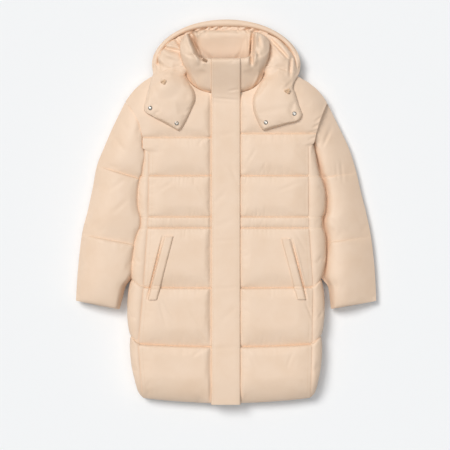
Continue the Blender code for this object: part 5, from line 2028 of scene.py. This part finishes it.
def build_stage(looks):
    """A pale plain floor, a large soft light from the upper left, pale fill, and a camera straight above."""
    scene = bpy.context.scene
    bm = bmesh.new()
    bmesh.ops.create_grid(bm, x_segments=2, y_segments=2, size=FLOOR_SIZE / 2)
    bmesh.ops.translate(bm, vec=(0.0, 0.0, FLOOR_LEVEL), verts=bm.verts)
    floor = new_object("studio_floor", bm)
    floor.data.materials.append(MATERIALS["floor"])
    for name, strength, spread, colour, aim in (
        ("key", looks.key_strength, 24.0, (1.0, 0.985, 0.965), (1.15, -1.1, -2.6)),
        ("overhead", looks.overhead_strength, 55.0, (0.97, 0.99, 1.0), (0.0, 0.0, -1.0)),
    ):
        sun = bpy.data.lights.new(name, "SUN")
        sun.energy = strength
        sun.angle = math.radians(spread)
        sun.color = colour
        lamp = bpy.data.objects.new(name, sun)
        lamp.location = -Vector(aim)
        lamp.rotation_euler = Vector(aim).to_track_quat("-Z", "Y").to_euler()
        scene.collection.objects.link(lamp)
    world = bpy.data.worlds.new("studio")
    world.use_nodes = True
    background = world.node_tree.nodes["Background"]
    background.inputs["Color"].default_value = (0.93, 0.96, 1.0, 1.0)
    background.inputs["Strength"].default_value = looks.fill_strength
    scene.world = world
    lens = bpy.data.cameras.new("camera")
    lens.sensor_width = SENSOR
    lens.lens = SENSOR * CAMERA_DISTANCE / VIEW_WIDTH
    lens.clip_end = 50.0
    camera = bpy.data.objects.new("camera", lens)
    camera.location = (*VIEW_CENTRE, GARMENT_PLANE + CAMERA_DISTANCE)
    scene.collection.objects.link(camera)
    scene.camera = camera
    scene.view_settings.view_transform = "Standard"


# ---- add-on


class CoatSizes(bpy.types.PropertyGroup):
    """Sizes of the coat's filling and seams."""

    down_pressure: FloatProperty(
        name="Down pressure", description="How hard the down fills a chamber", default=4.0, min=0.5, max=12.0
    )
    pucker_depth: FloatProperty(
        name="Pucker depth", description="Depth of the gathers along a seam", default=0.0008, unit="LENGTH"
    )
    pucker_spacing: FloatProperty(
        name="Pucker spacing", description="Distance between the gathers", default=0.012, unit="LENGTH"
    )


class CoatLooks(bpy.types.PropertyGroup):
    """Colours of the coat and strength of the studio's light."""

    shell_colour: StringProperty(name="Shell", description="Shell cloth, as sRGB hex", default="EDD2B9")
    shell_shade: StringProperty(name="Shell, darker", description="Darker dye of the shell", default="E9CCB1")
    key_strength: FloatProperty(name="Key light", description="Strength of key light", default=1.85, min=0.0)
    overhead_strength: FloatProperty(name="Overhead", description="Strength of the top light", default=0.95)
    fill_strength: FloatProperty(name="Fill light", description="Strength of the pale fill", default=0.21)


class COAT_OT_finishes(bpy.types.Operator):
    """Make every material"""

    bl_idname = "coat.finishes"
    bl_label = "Finishes"

    def execute(self, context):
        looks = context.scene.coat_looks
        for name, crinkle in (("shell", 0.22), ("trim", 0.16)):
            kind = "calendered_nylon_" + name
            MATERIALS[name] = nylon(kind, looks.shell_colour, looks.shell_shade, crinkle)
        MATERIALS["thread"] = thread_painted_shade_material()
        MATERIALS["nickel"] = nickel_material()
        MATERIALS["coil"] = coil_material()
        MATERIALS["cord"] = cord_material()
        MATERIALS["floor"] = paper_material()
        return {"FINISHED"}


class COAT_OT_body(bpy.types.Operator):
    """Make the fronts, side panels and back"""

    bl_idname = "coat.body"
    bl_label = "Body"

    def execute(self, context):
        build_body(context.scene.coat_sizes)
        return {"FINISHED"}


class COAT_OT_sleeves(bpy.types.Operator):
    """Make both sleeves"""

    bl_idname = "coat.sleeves"
    bl_label = "Sleeves"

    def execute(self, context):
        build_sleeves(context.scene.coat_sizes)
        return {"FINISHED"}


class COAT_OT_collar(bpy.types.Operator):
    """Make the stand collar"""

    bl_idname = "coat.collar"
    bl_label = "Collar"

    def execute(self, context):
        build_collar(context.scene.coat_sizes)
        return {"FINISHED"}


class COAT_OT_hood(bpy.types.Operator):
    """Make the hood with its throat flaps and brim"""

    bl_idname = "coat.hood"
    bl_label = "Hood"

    def execute(self, context):
        build_hood(context.scene.coat_sizes)
        return {"FINISHED"}


class COAT_OT_placket(bpy.types.Operator):
    """Make the placket"""

    bl_idname = "coat.placket"
    bl_label = "Placket"

    def execute(self, context):
        build_placket()
        return {"FINISHED"}


class COAT_OT_welts(bpy.types.Operator):
    """Make the pocket welts"""

    bl_idname = "coat.welts"
    bl_label = "Pocket welts"

    def execute(self, context):
        build_welts()
        return {"FINISHED"}


class COAT_OT_metal(bpy.types.Operator):
    """Finish the studs, eyelets, zip and cords"""

    bl_idname = "coat.metal"
    bl_label = "Studs, zip and cords"

    def execute(self, context):
        build_metal()
        return {"FINISHED"}


class COAT_OT_stitches(bpy.types.Operator):
    """Sew every visible row of stitches"""

    bl_idname = "coat.stitches"
    bl_label = "Stitches"

    def execute(self, context):
        build_stitches()
        return {"FINISHED"}


class COAT_OT_stage(bpy.types.Operator):
    """Set up the floor, the light and the camera"""

    bl_idname = "coat.stage"
    bl_label = "Stage"

    def execute(self, context):
        build_stage(context.scene.coat_looks)
        return {"FINISHED"}


OPERATORS = (
    COAT_OT_finishes,
    COAT_OT_body,
    COAT_OT_sleeves,
    COAT_OT_collar,
    COAT_OT_hood,
    COAT_OT_placket,
    COAT_OT_welts,
    COAT_OT_metal,
    COAT_OT_stitches,
    COAT_OT_stage,
)


class COAT_PT_panel(bpy.types.Panel):
    """The coat's sizes, colours and pieces"""

    bl_idname = "COAT_PT_panel"
    bl_label = "Quilted Down Coat"
    bl_space_type = "VIEW_3D"
    bl_region_type = "UI"
    bl_category = "Coat"

    def draw(self, context):
        layout = self.layout
        for group in (context.scene.coat_sizes, context.scene.coat_looks):
            box = layout.box()
            for name in group.bl_rna.properties.keys():
                if name not in ("rna_type", "name"):
                    box.prop(group, name)
        for made in OPERATORS:
            layout.operator(made.bl_idname)


CLASSES = (CoatSizes, CoatLooks, *OPERATORS, COAT_PT_panel)


def register():
    """Register the classes and attach the settings to the scene."""
    for made in CLASSES:
        bpy.utils.register_class(made)
    bpy.types.Scene.coat_sizes = PointerProperty(type=CoatSizes)
    bpy.types.Scene.coat_looks = PointerProperty(type=CoatLooks)


def unregister():
    """Take the settings and the classes away again."""
    del bpy.types.Scene.coat_looks
    del bpy.types.Scene.coat_sizes
    for made in reversed(CLASSES):
        bpy.utils.unregister_class(made)


def main():
    """Register the add-on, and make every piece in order."""
    register()
    for made in OPERATORS:
        group, name = made.bl_idname.split(".")
        getattr(getattr(bpy.ops, group), name)()


if __name__ == "__main__":
    main()
